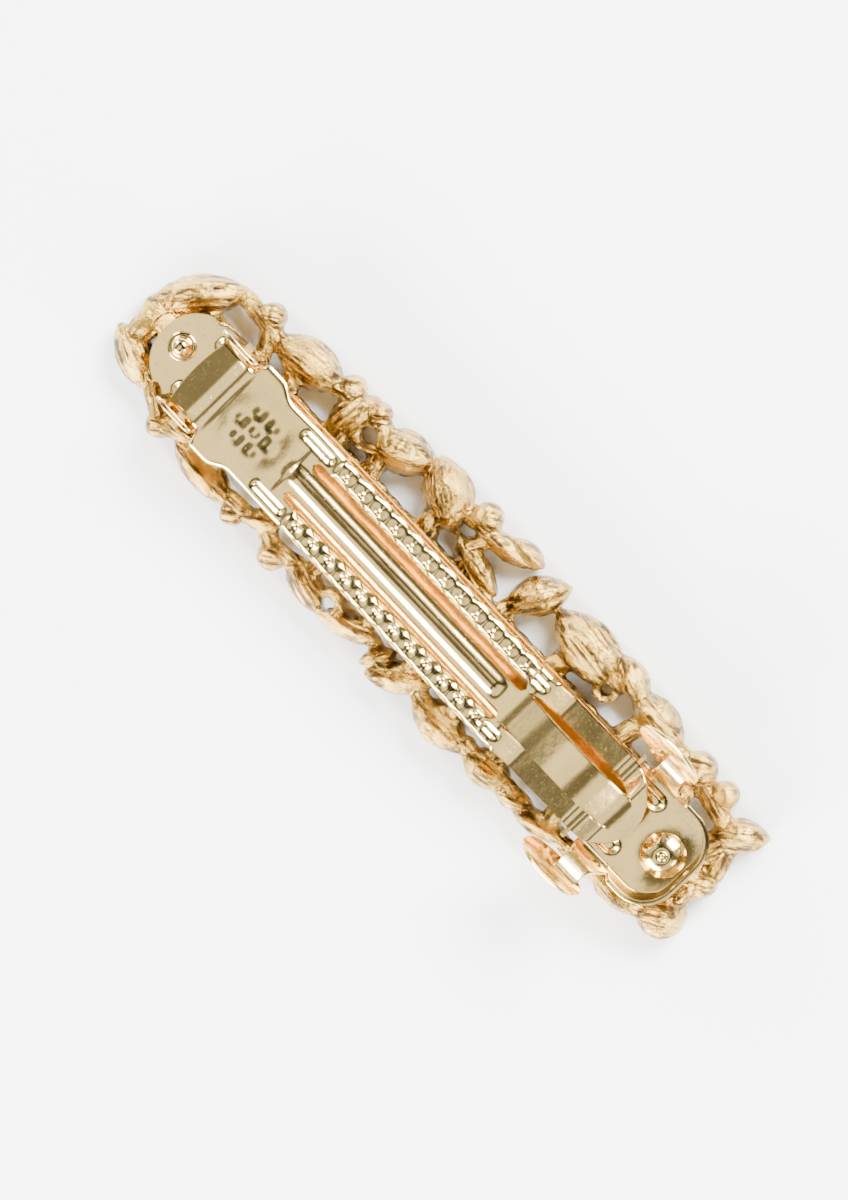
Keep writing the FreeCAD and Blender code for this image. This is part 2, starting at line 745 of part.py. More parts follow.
def make_rivets():
    shank = [
        ("0", "- rivet_depth"),
        ("rivet_shank_radius", "- rivet_depth"),
        ("rivet_shank_radius", "base_sheet"),
    ]
    flange_top = "base_sheet + rivet_flange"
    make_rivet("hinge_end_rivet", "hinge_rivet_place", shank + [
        ("hinge_rivet_flange_radius", "base_sheet"),
        ("hinge_rivet_flange_radius", flange_top),
        ("hinge_rivet_ball_radius", flange_top),
        ("hinge_rivet_ball_radius", f"{flange_top} + 0.5"),
        ("hinge_rivet_ball_radius - 0.45", f"{flange_top} + 1"),
        ("0", f"{flange_top} + 1.15"),
    ])
    make_rivet("clasp_end_rivet", "clasp_rivet_place", shank + [
        ("clasp_rivet_flange_radius", "base_sheet"),
        ("clasp_rivet_flange_radius", flange_top),
        ("0", f"{flange_top} + clasp_rivet_dome_height"),
    ])


# ---- leaf shapes ----

def leaf_outline(length, width, height):
    """A pointed oval: two arcs that meet at both tips."""
    start = FreeCAD.Vector(-length / 2, 0, height)
    end = FreeCAD.Vector(length / 2, 0, height)
    upper = Part.Arc(start, FreeCAD.Vector(0, width / 2, height), end)
    lower = Part.Arc(end, FreeCAD.Vector(0, -width / 2, height), start)
    return Part.Wire([upper.toShape(), lower.toShape()])


def leaf_steps(length, width):
    """Two smaller ovals stacked on a leaf, which make its swollen back."""
    floor, middle = size("casting_shoulder"), size("casting_middle")
    steps = []
    for share, rise in LEAF_STEPS:
        top = middle + width * rise
        if top > floor + size("least_step_rise"):
            oval = Part.Face(leaf_outline(length * share, width * share, floor))
            steps.append(oval.extrude(FreeCAD.Vector(0, 0, top - floor)))
    return steps


def placed(shape, across, along, heading):
    copy = shape.copy()
    copy.Placement = FreeCAD.Placement(
        FreeCAD.Vector(across, along, 0),
        FreeCAD.Rotation(FreeCAD.Vector(0, 0, 1), heading)).multiply(shape.Placement)
    return copy


def centre_leaves():
    count = CENTRE_ROW["count"]
    step = (CENTRE_ROW["last"] - CENTRE_ROW["first"]) / (count - 1)
    side = sum(SPINE_SIDES) / 2
    for number in range(count):
        heading = CENTRE_ROW["heading"] * (1 if number % 2 else -1)
        yield (f"centre_{number + 1}", CENTRE_ROW["first"] + step * number, side,
               CENTRE_ROW["length"], CENTRE_ROW["width"], heading)


def all_leaves():
    return UPPER_LEAVES + LOWER_LEAVES + list(centre_leaves())


# ---- casting ----

def disc_face(across, along, radius):
    middle = FreeCAD.Vector(across, along, size("casting_front"))
    return Part.Face(Part.Wire(Part.makeCircle(radius, middle)))


def bar_face(start_x, start_y, end_x, end_y, radius):
    """A straight bar in plan, as wide as the stem is thick."""
    height = size("casting_front")
    start = FreeCAD.Vector(start_x, start_y, height)
    end = FreeCAD.Vector(end_x, end_y, height)
    run = (end - start).normalize()
    beside = FreeCAD.Vector(-run.y, run.x, 0) * radius
    corners = [start + beside, start - beside, end - beside, end + beside]
    return Part.Face(Part.makePolygon(corners + corners[:1]))


def stem_faces(start_x, start_y, end_x, end_y, radius):
    return [bar_face(start_x, start_y, end_x, end_y, radius),
            disc_face(start_x, start_y, radius), disc_face(end_x, end_y, radius)]


def plan_of_casting():
    """The casting from above: leaves, beads, stems, eyelets and the hidden vines."""
    front = size("casting_front")
    faces = []
    for _, across, along, length, width, heading in all_leaves():
        faces.append(placed(Part.Face(leaf_outline(length, width, front)), across, along, heading))
    for _, across, along, radius in BEADS:
        faces.append(disc_face(across, along, radius))
    for stem in STEMS:
        faces += stem_faces(*stem)
    for across, along, outer, _ in EYELETS:
        faces.append(disc_face(across, along, outer))
    start, end, radius = size("spine_start"), size("spine_end"), size("spine_radius")
    for side in SPINE_SIDES:
        faces += stem_faces(start, side, end, side, radius)
    for name in ("hinge_rivet_place", "clasp_rivet_place"):
        faces.append(disc_face(size(name), size("clip_side_shift"), size("casting_foot_radius")))
    return faces


def crowns_of_casting():
    """What rises from the outline's shoulder: leaf backs, bead tops and the base plate's feet."""
    shoulder, top = size("casting_shoulder"), size("base_bottom")
    crowns = []
    for _, across, along, length, width, heading in all_leaves():
        for shape in leaf_steps(length, width):
            crowns.append(placed(shape, across, along, heading))
    for _, across, along, radius in BEADS:
        for share, rise in BEAD_STEPS:
            foot = FreeCAD.Vector(across, along, shoulder)
            crowns.append(Part.makeCylinder(radius * share, radius * rise, foot))
    for name in ("hinge_rivet_place", "clasp_rivet_place"):
        foot = FreeCAD.Vector(size(name), size("clip_side_shift"), shoulder)
        crowns.append(Part.makeCylinder(size("casting_foot_radius"), top - shoulder, foot))
    across_clip = SPINE_SIDES[0] - SPINE_SIDES[1]
    half, low = size("bridge_half_width"), size("casting_front") + size("bridge_lift")
    for place in BRIDGE_PLACES:
        corner = FreeCAD.Vector(place - half, SPINE_SIDES[1], low)
        crowns.append(Part.makeBox(2 * half, across_clip, top - low, corner))
    return crowns


def make_casting(seats):
    front, shoulder, top = (size("casting_front"), size("casting_shoulder"), size("base_bottom"))
    rise = FreeCAD.Vector(0, 0, shoulder - front)
    prisms = [face.extrude(rise) for face in plan_of_casting()]
    slab = prisms[0].multiFuse(prisms[1:]).removeSplitter()
    solid = slab.multiFuse(crowns_of_casting())
    holes = []
    for across, along, _, inner in EYELETS:
        holes.append(Part.makeCylinder(inner, 8.0, FreeCAD.Vector(across, along, -1)))
    for name in ("hinge_rivet_place", "clasp_rivet_place"):
        foot = FreeCAD.Vector(size(name), size("clip_side_shift"), top - size("rivet_depth"))
        holes.append(Part.makeCylinder(size("rivet_hole_radius"), 4.0, foot))
    above = Part.makeBox(100, 40, 10, FreeCAD.Vector(-50, -20, top))
    solid = solid.cut(holes + seats + [above]).removeSplitter()
    body = max(solid.Solids, key=lambda item: item.Volume)
    print("casting solids", len(solid.Solids), "largest share",
          round(body.Volume / solid.Volume, 4), body.BoundBox)
    casting = doc.addObject("Part::Feature", "ornament_casting")
    casting.Label = "ornament_casting"
    casting.Shape = body


# ---- crystals ----

def faceted(outline_at):
    """A cut stone, from a function that gives its outline at a share of full size."""
    crown, girdle = size("crown_height"), size("girdle_height")
    depth = crown + girdle + size("pavilion_height")
    levels = [(size("table_share"), 0.0), (1.0, crown), (1.0, crown + girdle),
              (size("culet_share"), depth)]
    wires = [outline_at(share, height) for share, height in levels]
    stone = None
    for lower, upper in zip(wires, wires[1:]):
        slab = Part.makeLoft([lower, upper], True, True)
        stone = slab if stone is None else stone.fuse(slab)
    return stone.removeSplitter()


def polygon_wire(points):
    return Part.makePolygon(points + points[:1])


def navette_outline(length, width, share, height):
    points = []
    for side in (1, -1):
        for step in range(5):
            place = side * length / 2 * (1 - step / 2.5)
            swell = side * width / 2 * (1 - (place / (length / 2)) ** 2)
            points.append(FreeCAD.Vector(place * share, swell * share, height))
    return polygon_wire(points)


def round_outline(radius, share, height):
    turn = math.radians(45)
    return polygon_wire([
        FreeCAD.Vector(math.cos(turn * step) * radius * share,
                       math.sin(turn * step) * radius * share, height)
        for step in range(8)])


def add_crystal(name, shape, across, along, heading):
    crystal = doc.addObject("Part::Feature", name)
    crystal.Label = name
    crystal.Shape = shape
    crystal.Placement = FreeCAD.Placement(
        FreeCAD.Vector(across, along, 0), FreeCAD.Rotation(FreeCAD.Vector(0, 0, 1), heading))


def seat_for(outline_at, across, along, heading):
    """The straight-walled recess that a stone drops into."""
    front = size("casting_front")
    overcut = size("seat_overcut")
    depth = size("crown_height") + size("girdle_height") + size("pavilion_height")
    floor = depth + size("seat_floor_gap")
    wire = outline_at(1.0, front - overcut)
    recess = Part.Face(wire).extrude(FreeCAD.Vector(0, 0, floor - front + overcut))
    return placed(recess, across, along, heading)


def make_crystals():
    """Every wide leaf and every bead carries a stone; returns their seats."""
    seats = []
    gap = size("seat_clearance")
    number = 0
    for _, across, along, length, width, heading in all_leaves():
        if width < NAVETTE_LEAST_WIDTH:
            continue
        number += 1
        long_side = length * size("navette_length_share")
        short_side = width * size("navette_width_share")

        def stone_outline(share, height, more=0.0):
            return navette_outline(long_side + 4 * more, short_side + 2 * more, share, height)

        add_crystal(f"navette_crystal_{number:02d}", faceted(stone_outline), across, along, heading)
        seats.append(seat_for(lambda share, height: stone_outline(share, height, gap),
                              across, along, heading))
    for number, (_, across, along, radius) in enumerate(BEADS, start=1):
        size_of_stone = radius * size("round_share")
        add_crystal(f"round_crystal_{number:02d}",
                    faceted(lambda share, height: round_outline(size_of_stone, share, height)),
                    across, along, 0)
        seats.append(seat_for(
            lambda share, height: round_outline(size_of_stone + gap, share, height),
            across, along, 0))
    return seats


def make_pave(name, leaves):
    """Small stones glued in a row along each narrow leaf."""
    front, depth = size("casting_front"), size("pave_depth")
    radius = size("pave_radius")
    stones = []
    for _, across, along, length, width, heading in leaves:
        if width >= NAVETTE_LEAST_WIDTH:
            continue
        turn = math.radians(heading)
        for step in (-1, 0, 1):
            reach = step * length * size("pave_reach_share")
            foot = FreeCAD.Vector(across + math.cos(turn) * reach,
                                  along + math.sin(turn) * reach, front - depth)
            stones.append(Part.makeCone(radius * size("pave_taper"), radius, depth, foot))
    group = doc.addObject("Part::Feature", name)
    group.Label = name
    group.Shape = Part.makeCompound(stones)


# ---- checks and files ----

def check_document():
    for item in doc.Objects:
        if "Invalid" in item.State or "Error" in item.State:
            raise ValueError(f"{item.Name} failed: {item.State}")


def sub_parts():
    wanted = ("PartDesign::Body", "Part::Feature")
    return [item for item in doc.Objects if item.TypeId in wanted]


def write_files():
    os.makedirs("parts", exist_ok=True)
    for item in sub_parts():
        shape = item.Shape
        if shape.isNull() or not shape.isValid():
            raise ValueError(f"{item.Label} has no valid shape")
        print(item.Label, len(shape.Solids), round(shape.Volume, 3))
    for item in sub_parts():
        item.Shape.exportStep(f"parts/{item.Label}.step")


fill_sheet()
make_base_plate()
make_clamp_arm()
make_release_wing("release_wing_left", 1)
make_release_wing("release_wing_right", -1)
make_rivets()
make_casting(make_crystals())
make_pave("pave_crystals_upper", UPPER_LEAVES)
make_pave("pave_crystals_lower", LOWER_LEAVES)
doc.recompute()
check_document()
write_files()
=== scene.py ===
import math
import bpy
import bmesh
import numpy as np
from mathutils import Matrix, Vector, noise


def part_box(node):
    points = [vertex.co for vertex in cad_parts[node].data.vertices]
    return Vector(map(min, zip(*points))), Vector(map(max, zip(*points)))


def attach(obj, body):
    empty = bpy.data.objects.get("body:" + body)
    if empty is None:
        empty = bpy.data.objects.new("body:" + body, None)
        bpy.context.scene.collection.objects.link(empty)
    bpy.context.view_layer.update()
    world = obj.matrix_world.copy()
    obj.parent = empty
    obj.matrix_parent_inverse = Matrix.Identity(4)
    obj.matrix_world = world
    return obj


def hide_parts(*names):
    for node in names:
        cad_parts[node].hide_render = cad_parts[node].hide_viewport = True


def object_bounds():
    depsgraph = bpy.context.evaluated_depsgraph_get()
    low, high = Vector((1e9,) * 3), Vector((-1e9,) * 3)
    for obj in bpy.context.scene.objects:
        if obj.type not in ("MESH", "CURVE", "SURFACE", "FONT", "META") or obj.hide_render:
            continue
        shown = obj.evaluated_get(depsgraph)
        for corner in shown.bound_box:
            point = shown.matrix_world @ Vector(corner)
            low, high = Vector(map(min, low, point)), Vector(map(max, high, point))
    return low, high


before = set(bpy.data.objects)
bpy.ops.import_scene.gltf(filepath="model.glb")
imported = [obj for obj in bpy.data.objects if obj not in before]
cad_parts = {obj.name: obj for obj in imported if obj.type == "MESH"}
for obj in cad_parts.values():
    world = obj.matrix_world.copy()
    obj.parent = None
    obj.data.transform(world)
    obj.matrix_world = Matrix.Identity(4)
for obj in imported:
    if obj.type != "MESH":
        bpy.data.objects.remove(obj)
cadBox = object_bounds()
mm = 0.001


def note(words):
    print("barrette:", words)


# camera and surroundings

cameraPlan = {
    "lens": 150.0,
    "sensor": 36.0,
    "clipStart": 0.01,
    "viewHeight": 125.0 * mm,
    "leanX": 0.05,
    "leanY": 0.19,
    "roll": 45.85,
    "target": (-0.1 * mm, -0.97 * mm, 3.5 * mm),
}


def addCamera(plan):
    data = bpy.data.cameras.new("photoCamera")
    data.type = "PERSP"
    data.lens = plan["lens"]
    data.sensor_width = plan["sensor"]
    data.clip_start = plan["clipStart"]
    camera = bpy.data.objects.new("photoCamera", data)
    bpy.context.scene.collection.objects.link(camera)
    back = Vector((plan["leanX"], plan["leanY"], 1.0)).normalized()
    turn = math.radians(plan["roll"])
    upHint = Vector((-math.sin(turn), math.cos(turn), 0.0))
    right = upHint.cross(back).normalized()
    up = back.cross(right)
    distance = plan["viewHeight"] * plan["lens"] / plan["sensor"]
    place = Vector(plan["target"]) + back * distance
    axes = Matrix((right, up, back)).transposed().to_4x4()
    camera.matrix_world = Matrix.Translation(place) @ axes
    bpy.context.scene.camera = camera


# shader building

class Signal:
    # a node's output that can be added and multiplied like a number
    def __init__(self, tree, socket):
        self.tree = tree
        self.socket = socket

    def maths(self, operation, first, second):
        return self.tree.add("ShaderNodeMath", {"operation": operation}, {0: first, 1: second})

    def __add__(self, other):
        return self.maths("ADD", self, other)

    def __radd__(self, other):
        return self.maths("ADD", other, self)

    def __mul__(self, other):
        return self.maths("MULTIPLY", self, other)


def fillRamp(ramp, stops):
    ramp.elements[0].position = stops[0][0]
    ramp.elements[-1].position = stops[-1][0]
    for place, _ in stops[1:-1]:
        ramp.elements.new(place)
    for element, (_, shade) in zip(ramp.elements, stops):
        element.color = (shade, shade, shade, 1.0)


class Shader:
    def __init__(self, name, **constants):
        self.material = bpy.data.materials.new(name)
        self.material.use_nodes = True
        self.nodes = self.material.node_tree.nodes
        self.links = self.material.node_tree.links
        self.surface = self.nodes["Principled BSDF"]
        for socket, value in constants.items():
            self.surface.inputs[socket.replace("_", " ")].default_value = value

    def put(self, socket, value):
        if isinstance(value, Signal):
            self.links.new(value.socket, socket)
        else:
            socket.default_value = value

    def add(self, kind, settings=None, values=None, output=0):
        node = self.nodes.new(kind)
        for name, value in (settings or {}).items():
            if name == "stops":
                fillRamp(node.color_ramp, value)
            else:
                setattr(node, name, value)
        for name, value in (values or {}).items():
            self.put(node.inputs[name], value)
        return Signal(self, node.outputs[output])

    def objectPlace(self):
        return self.add("ShaderNodeTexCoord", output=3)

    def scaled(self, vector, scale):
        return self.add("ShaderNodeMapping", {}, {"Vector": vector, "Scale": scale})

    def grain(self, vector, scale, detail, rough=0.55):
        return self.add("ShaderNodeTexNoise", {},
                        {"Vector": vector, "Scale": scale, "Detail": detail, "Roughness": rough})

    def ramp(self, value, stops):
        return self.add("ShaderNodeValToRGB", {"stops": stops}, {"Fac": value})

    def mixColours(self, factor, first, second):
        return self.add("ShaderNodeMix", {"data_type": "RGBA"},
                        {0: factor, 6: first, 7: second}, output=2)

    def bump(self, height, strength, distance, normal=None):
        values = {"Height": height, "Strength": strength, "Distance": distance}
        if normal is not None:
            values["Normal"] = normal
        return self.add("ShaderNodeBump", {}, values)

    def drive(self, socket, value):
        self.put(self.surface.inputs[socket], value)


# materials

clipFinish = {
    "tints": ((0.85, 0.62, 0.24, 1.0), (0.77, 0.53, 0.16, 1.0)),
    "clouds": (260.0, 4.0),
    "streaks": (1.0, 4.0, 0.7),
    "specks": (5200.0, 2.0, 0.5),
    "speckStops": [(0.66, 0.0), (0.76, 1.0)],
    "roughness": (0.09, 0.10, 0.12),
    "cloudBump": (0.10, 0.0004),
    "streakBump": (0.10, 0.00006),
    "speckBump": (0.18, 0.00003),
}


def makeClipGold(name, stretch):
    finish = clipFinish
    shader = Shader(name, Metallic=1.0)
    place = shader.objectPlace()
    clouds = shader.grain(place, *finish["clouds"])
    streaks = shader.grain(shader.scaled(place, stretch), *finish["streaks"])
    specks = shader.ramp(shader.grain(place, *finish["specks"]), finish["speckStops"])
    least, cloudShare, speckShare = finish["roughness"]
    shader.drive("Base Color", shader.mixColours(clouds, *finish["tints"]))
    shader.drive("Roughness", least + clouds * cloudShare + specks * speckShare)
    soft = shader.bump(clouds, *finish["cloudBump"])
    lines = shader.bump(streaks, *finish["streakBump"], soft)
    shader.drive("Normal", shader.bump(specks, *finish["speckBump"], lines))
    return shader.material


castFinish = {
    "tints": ((0.80, 0.53, 0.13, 1.0), (0.50, 0.29, 0.045, 1.0)),
    # the groove tint is painted shade: a near-black colour laid into the brushing strokes
    "grooveShade": (0.07, 0.035, 0.01, 1.0),
    "strokeStretch": (240.0, 2300.0, 900.0),
    "strokes": (1.0, 5.0, 0.65),
    "grooveShadeStops": [(0.43, 0.0), (0.56, 1.0)],
    "brushed": (330.0, 2.0),
    "brushedStops": [(0.38, 0.0), (0.52, 1.0)],
    "patches": (240.0, 3.0),
    "polishedStops": [(0.44, 0.0), (0.60, 1.0)],
    "pits": (2600.0, 4.0, 0.6),
    "lumps": (700.0, 3.0),
    "roughness": (0.07, 0.10, 0.07),
    "pitBump": (0.22, 0.00014),
    "lumpBump": (0.35, 0.0005),
    "strokeBump": (0.9, 0.00040),
}


def makeCastGold():
    finish = castFinish
    shader = Shader("castGold", Metallic=1.0)
    place = shader.objectPlace()
    along = shader.add("ShaderNodeAttribute", {"attribute_name": "leafPlace"}, output=1)
    strokes = shader.grain(shader.scaled(along, finish["strokeStretch"]), *finish["strokes"])
    patches = shader.grain(place, *finish["patches"])
    polished = shader.ramp(patches, finish["polishedStops"])
    pits = shader.grain(place, *finish["pits"])
    # painted shade: the strokes' ramp, cut into patches by the brushed grain, darkens the gold
    # toward the near-black groove tint
    grooveShadeMask = shader.ramp(strokes, finish["grooveShadeStops"])
    brushed = shader.ramp(shader.grain(place, *finish["brushed"]), finish["brushedStops"])
    tint = shader.mixColours(patches, *finish["tints"])
    shader.drive("Base Color", shader.mixColours(grooveShadeMask * brushed, tint, finish["grooveShade"]))
    least, polishedShare, pitShare = finish["roughness"]
    shader.drive("Roughness", least + polished * polishedShare + pits * pitShare)
    rough = shader.bump(pits, *finish["pitBump"])
    lumpy = shader.bump(shader.grain(place, *finish["lumps"]), *finish["lumpBump"], rough)
    shader.drive("Normal", shader.bump(strokes, *finish["strokeBump"], lumpy))
    return shader.material


plainFinishes = {
    "gemGlass": {"grain": (900.0, 2.0), "tints": ((1.0, 1.0, 1.0, 1.0), (0.93, 0.96, 1.0, 1.0))},
    "gemFoil": {"grain": (1500.0, 2.0),
                "tints": ((0.93, 0.94, 0.96, 1.0), (0.78, 0.80, 0.84, 1.0)),
                "roughness": (0.04, 0.08)},
    "paleFloor": {"grain": (30.0, 2.0),
                  "tints": ((0.95, 0.95, 0.95, 1.0), (0.93, 0.93, 0.93, 1.0))},
}


def makePlain(name, **constants):
    finish = plainFinishes[name]
    shader = Shader(name, **constants)
    haze = shader.grain(shader.objectPlace(), *finish["grain"])
    shader.drive("Base Color", shader.mixColours(haze, *finish["tints"]))
    if "roughness" in finish:
        least, share = finish["roughness"]
        shader.drive("Roughness", least + haze * share)
    return shader.material


# light and floor

lightPlan = {
    "floorSize": 1.6,
    "floorSteps": 8,
    "floorGap": 0.02 * mm,
    "softboxes": [
        ("key", (0.0, 0.46, 0.42), (0.36, 0.22), 21.0),
        ("fill", (0.05, -0.52, 0.26), (0.50, 0.16), 18.0),
        ("hingeSide", (-0.54, 0.06, 0.30), (0.20, 0.30), 7.0),
        ("claspSide", (0.54, 0.02, 0.28), (0.18, 0.30), 7.0),
    ],
    "along": [
        (0.0, 0.30), (0.19, 0.85), (0.25, 0.13), (0.385, 0.12), (0.405, 1.0), (0.522, 1.0),
        (0.542, 0.08), (0.67, 0.09), (0.74, 0.90), (1.0, 0.30),
    ],
    "across": [
        (0.0, 0.80), (0.22, 1.0), (0.29, 0.80), (0.335, 1.0), (0.48, 1.0), (0.54, 0.05),
        (0.68, 0.05), (0.78, 0.60), (1.0, 0.30),
    ],
    "world": 2.2,
}


def addFloor(plan):
    shape = bmesh.new()
    bmesh.ops.create_grid(shape, x_segments=plan["floorSteps"], y_segments=plan["floorSteps"],
                          size=plan["floorSize"] / 2)
    bmesh.ops.translate(shape, verts=shape.verts, vec=(0, 0, cadBox[0][2] - plan["floorGap"]))
    floor = meshObject("paleFloor", shape, [makePlain("paleFloor", Roughness=0.55)])


def addLights(plan):
    for name, place, extent, power in plan["softboxes"]:
        data = bpy.data.lights.new(name, "AREA")
        data.shape = "RECTANGLE"
        data.size, data.size_y = extent
        data.energy = power
        lamp = bpy.data.objects.new(name, data)
        bpy.context.scene.collection.objects.link(lamp)
        lamp.location = place
        lamp.rotation_euler = Vector(place).to_track_quat("Z", "Y").to_euler()
    world = bpy.data.worlds.new("studio")
    world.use_nodes = True
    bpy.context.scene.world = world
    tree = world.node_tree
    place = tree.nodes.new("ShaderNodeTexCoord")
    split = tree.nodes.new("ShaderNodeSeparateXYZ")
    tree.links.new(place.outputs["Generated"], split.inputs[0])
    product = tree.nodes.new("ShaderNodeMath")
    product.operation = "MULTIPLY"
    # a direction's X and Y, from -1 to 1, each become a place from 0 to 1 on a ramp
    for slot, (axis, stops) in enumerate((("X", plan["along"]), ("Y", plan["across"]))):
        centred = tree.nodes.new("ShaderNodeMath")
        centred.operation = "MULTIPLY_ADD"
        centred.inputs[1].default_value = 0.5
        centred.inputs[2].default_value = 0.5
        ramp = tree.nodes.new("ShaderNodeValToRGB")
        tree.links.new(split.outputs[axis], centred.inputs[0])
        tree.links.new(centred.outputs[0], ramp.inputs[0])
        tree.links.new(ramp.outputs[0], product.inputs[slot])
        fillRamp(ramp.color_ramp, stops)
    background = tree.nodes["Background"]
    tree.links.new(product.outputs[0], background.inputs["Color"])
    background.inputs["Strength"].default_value = plan["world"]


# mesh helpers

def meshObject(name, shape, materials, smooth=True):
    mesh = bpy.data.meshes.new(name)
    shape.to_mesh(mesh)
    shape.free()
    for material in materials:
        mesh.materials.append(material)
    if smooth:
        mesh.shade_smooth()
    piece = bpy.data.objects.new(name, mesh)
    bpy.context.scene.collection.objects.link(piece)
    return piece


def addModifier(piece, kind, **settings):
    modifier = piece.modifiers.new(kind.lower(), kind)
    for name, value in settings.items():
        setattr(modifier, name, value)
    return modifier


def applyModifiers(piece):
    graph = bpy.context.evaluated_depsgraph_get()
    graph.update()
    mesh = bpy.data.meshes.new_from_object(piece.evaluated_get(graph))
    piece.modifiers.clear()
    piece.data = mesh


def roundEdges(piece, width, angle):
    addModifier(piece, "BEVEL", width=width * mm, segments=2, limit_method="ANGLE",
                angle_limit=math.radians(angle))


def faceUp(shape):
    bmesh.ops.recalc_face_normals(shape, faces=shape.faces)
    if sum(face.normal.z for face in shape.faces) < 0:
        bmesh.ops.reverse_faces(shape, faces=shape.faces)


def quarterTurn(count):
    return [math.pi / 2 * step / count for step in range(count + 1)]


def mirrored(tracks):
    return [-track for track in reversed(tracks[1:])] + tracks


def finishPiece(piece, body, slot, *nodes):
    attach(piece, body)
    if nodes:
        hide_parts(*nodes)


def ease(value, start, end):
    share = min(max((value - start) / (end - start), 0.0), 1.0)
    return share * share * (3.0 - 2.0 * share)


def follow(stations, place):
    # height of a bent sheet at a place, from its (place, height) stations
    if place <= stations[0][0]:
        return stations[0][1]
    for (x0, z0), (x1, z1) in zip(stations, stations[1:]):
        if place <= x1:
            return z0 + (z1 - z0) * (place - x0) / (x1 - x0)
    return stations[-1][1]


def softened(stations, place, reach):
    # the same height, rounded at the folds over the given reach
    steps = (-1.0, -0.5, 0.0, 0.5, 1.0)
    return sum(follow(stations, place + step * reach) for step in steps) / len(steps)


def bulge(x, y, reachX, reachY):
    return math.exp(-(x / reachX) ** 2 - (y / reachY) ** 2)


hollowSteepness = 1.6


def hollow(x, y, centreX, centreY, radius):
    far = ((x - centreX) ** 2 + (y - centreY) ** 2) / radius ** 2
    return math.exp(-hollowSteepness * far)


# a pressed sheet: a grid whose lines are moved to their place and height

sheetPlan = {
    "thickness": 0.5,
    "edgeRound": 0.09,
    "creaseAngle": 50,
    "weld": 0.012,
}


def pressedSheet(name, rows, columns, placeAt, keepFace, material):
    plan = sheetPlan
    lastRow, lastColumn = len(rows) - 1, len(columns) - 1
    shape = bmesh.new()
    bmesh.ops.create_grid(shape, x_segments=lastRow, y_segments=lastColumn, size=1.0)
    marks = {}
    for vert in shape.verts:
        row = rows[round((vert.co.x + 1) / 2 * lastRow)]
        column = columns[round((vert.co.y + 1) / 2 * lastColumn)]
        marks[vert] = (row, column)
    doomed = []
    for face in shape.faces:
        rowMiddle = sum(marks[vert][0] for vert in face.verts) / 4
        columnMiddle = sum(marks[vert][1] for vert in face.verts) / 4
        if not keepFace(rowMiddle, columnMiddle):
            doomed.append(face)
    bmesh.ops.delete(shape, geom=doomed, context="FACES")
    for vert in shape.verts:
        vert.co = Vector(placeAt(*marks[vert])) * mm
    bmesh.ops.remove_doubles(shape, verts=shape.verts, dist=plan["weld"] * mm)
    loose = [vert for vert in shape.verts if not vert.link_faces]
    bmesh.ops.delete(shape, geom=loose, context="VERTS")
    faceUp(shape)
    piece = meshObject(name, shape, [material])
    addModifier(piece, "SOLIDIFY", thickness=plan["thickness"] * mm, offset=-1.0,
                use_even_offset=False)
    roundEdges(piece, plan["edgeRound"], plan["creaseAngle"])
    return piece


def spread(start, end, step):
    count = max(1, round((end - start) / step))
    return [start + (end - start) * number / count for number in range(count)]


# clamp arm

armPlan = {
    "step": 0.2,
    "tipSteps": 20,
    "innerTracks": 8,
    "outerTracks": 14,
    "flapEnd": -33.7,
    "flapBow": 0.5,
    "bowEnd": -31.2,
    "flapHalf": 4.35,
    "headHalf": 6.05,
    "half": 5.0,
    "widening": (-29.0, -28.3),
    "narrowing": (-26.2, -23.6),
    "tipMiddle": 27.2,
    "tipNarrow": 3.0,
    "tipShares": (0.45, 0.1),
    "mainLine": [(-33.7, 8.05), (-30.9, 8.45), (-29.7, 8.95), (15.2, 8.95)],
    "stripLine": [(15.2, 8.95), (18.4, 7.55), (26.6, 7.0), (27.3, 7.35), (28.0, 7.25),
                  (29.5, 8.6), (32.2, 8.6)],
    "tongueLine": [(14.4, 8.95), (15.2, 9.05), (18.2, 10.0), (21.6, 10.38), (24.6, 10.38),
                   (26.2, 10.1), (29.5, 8.6), (32.2, 8.6)],
    "foldReach": 0.28,
    "bridgeStart": 15.6,
    "bridgeFoldReach": 0.7,
    "slot": (-17.6, 14.0, 2.12, 0.62),
    "slit": (15.1, 29.1, 2.72, 0.17),
    "railEnd": 16.0,
    "edgeWidth": 0.42,
    "edgeDrop": 0.22,
    "wobble": (0.22, 0.30, 4.0, 0.035),
    "hinge": (-31.0, 8.6),
    "hingeLugSide": 5.05,
    "hingeLug": (0.98, 1.9, 0.46),
    "catchLugPlace": (27.5, 5.45, 7.25),
    "catchLug": (0.55, 1.25, 0.46),
    "catchLugTilt": 6,
    "lugRound": 0.12,
}
# the clip's middle line, a little to the right of the ornament's
clipSide = (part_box("clamp_arm")[0][1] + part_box("clamp_arm")[1][1]) / 2 / mm


def armHalf(x):
    plan = armPlan
    half = plan["flapHalf"] + (plan["headHalf"] - plan["flapHalf"]) * ease(x, *plan["widening"])
    half -= (plan["headHalf"] - plan["half"]) * ease(x, *plan["narrowing"])
    if x > plan["tipMiddle"]:
        half = math.sqrt(max(0.0, plan["half"] ** 2 - (x - plan["tipMiddle"]) ** 2))
    return half


def gapAt(x):
    # middle and half width of the opening between the arm's inner and outer parts
    slot, slit = armPlan["slot"], armPlan["slit"]
    for start, end, middle, reach in (slot, slit):
        if start <= x <= end:
            near = min(x - start, end - x)
            if near < reach:
                reach = math.sqrt(max(0.0, reach ** 2 - (reach - near) ** 2))
            return middle, reach
    return slot[2] + (slit[2] - slot[2]) * ease(x, slot[1], slit[0]), 0.0


# the toothed rails; heights first, then places and reaches along or across the arm

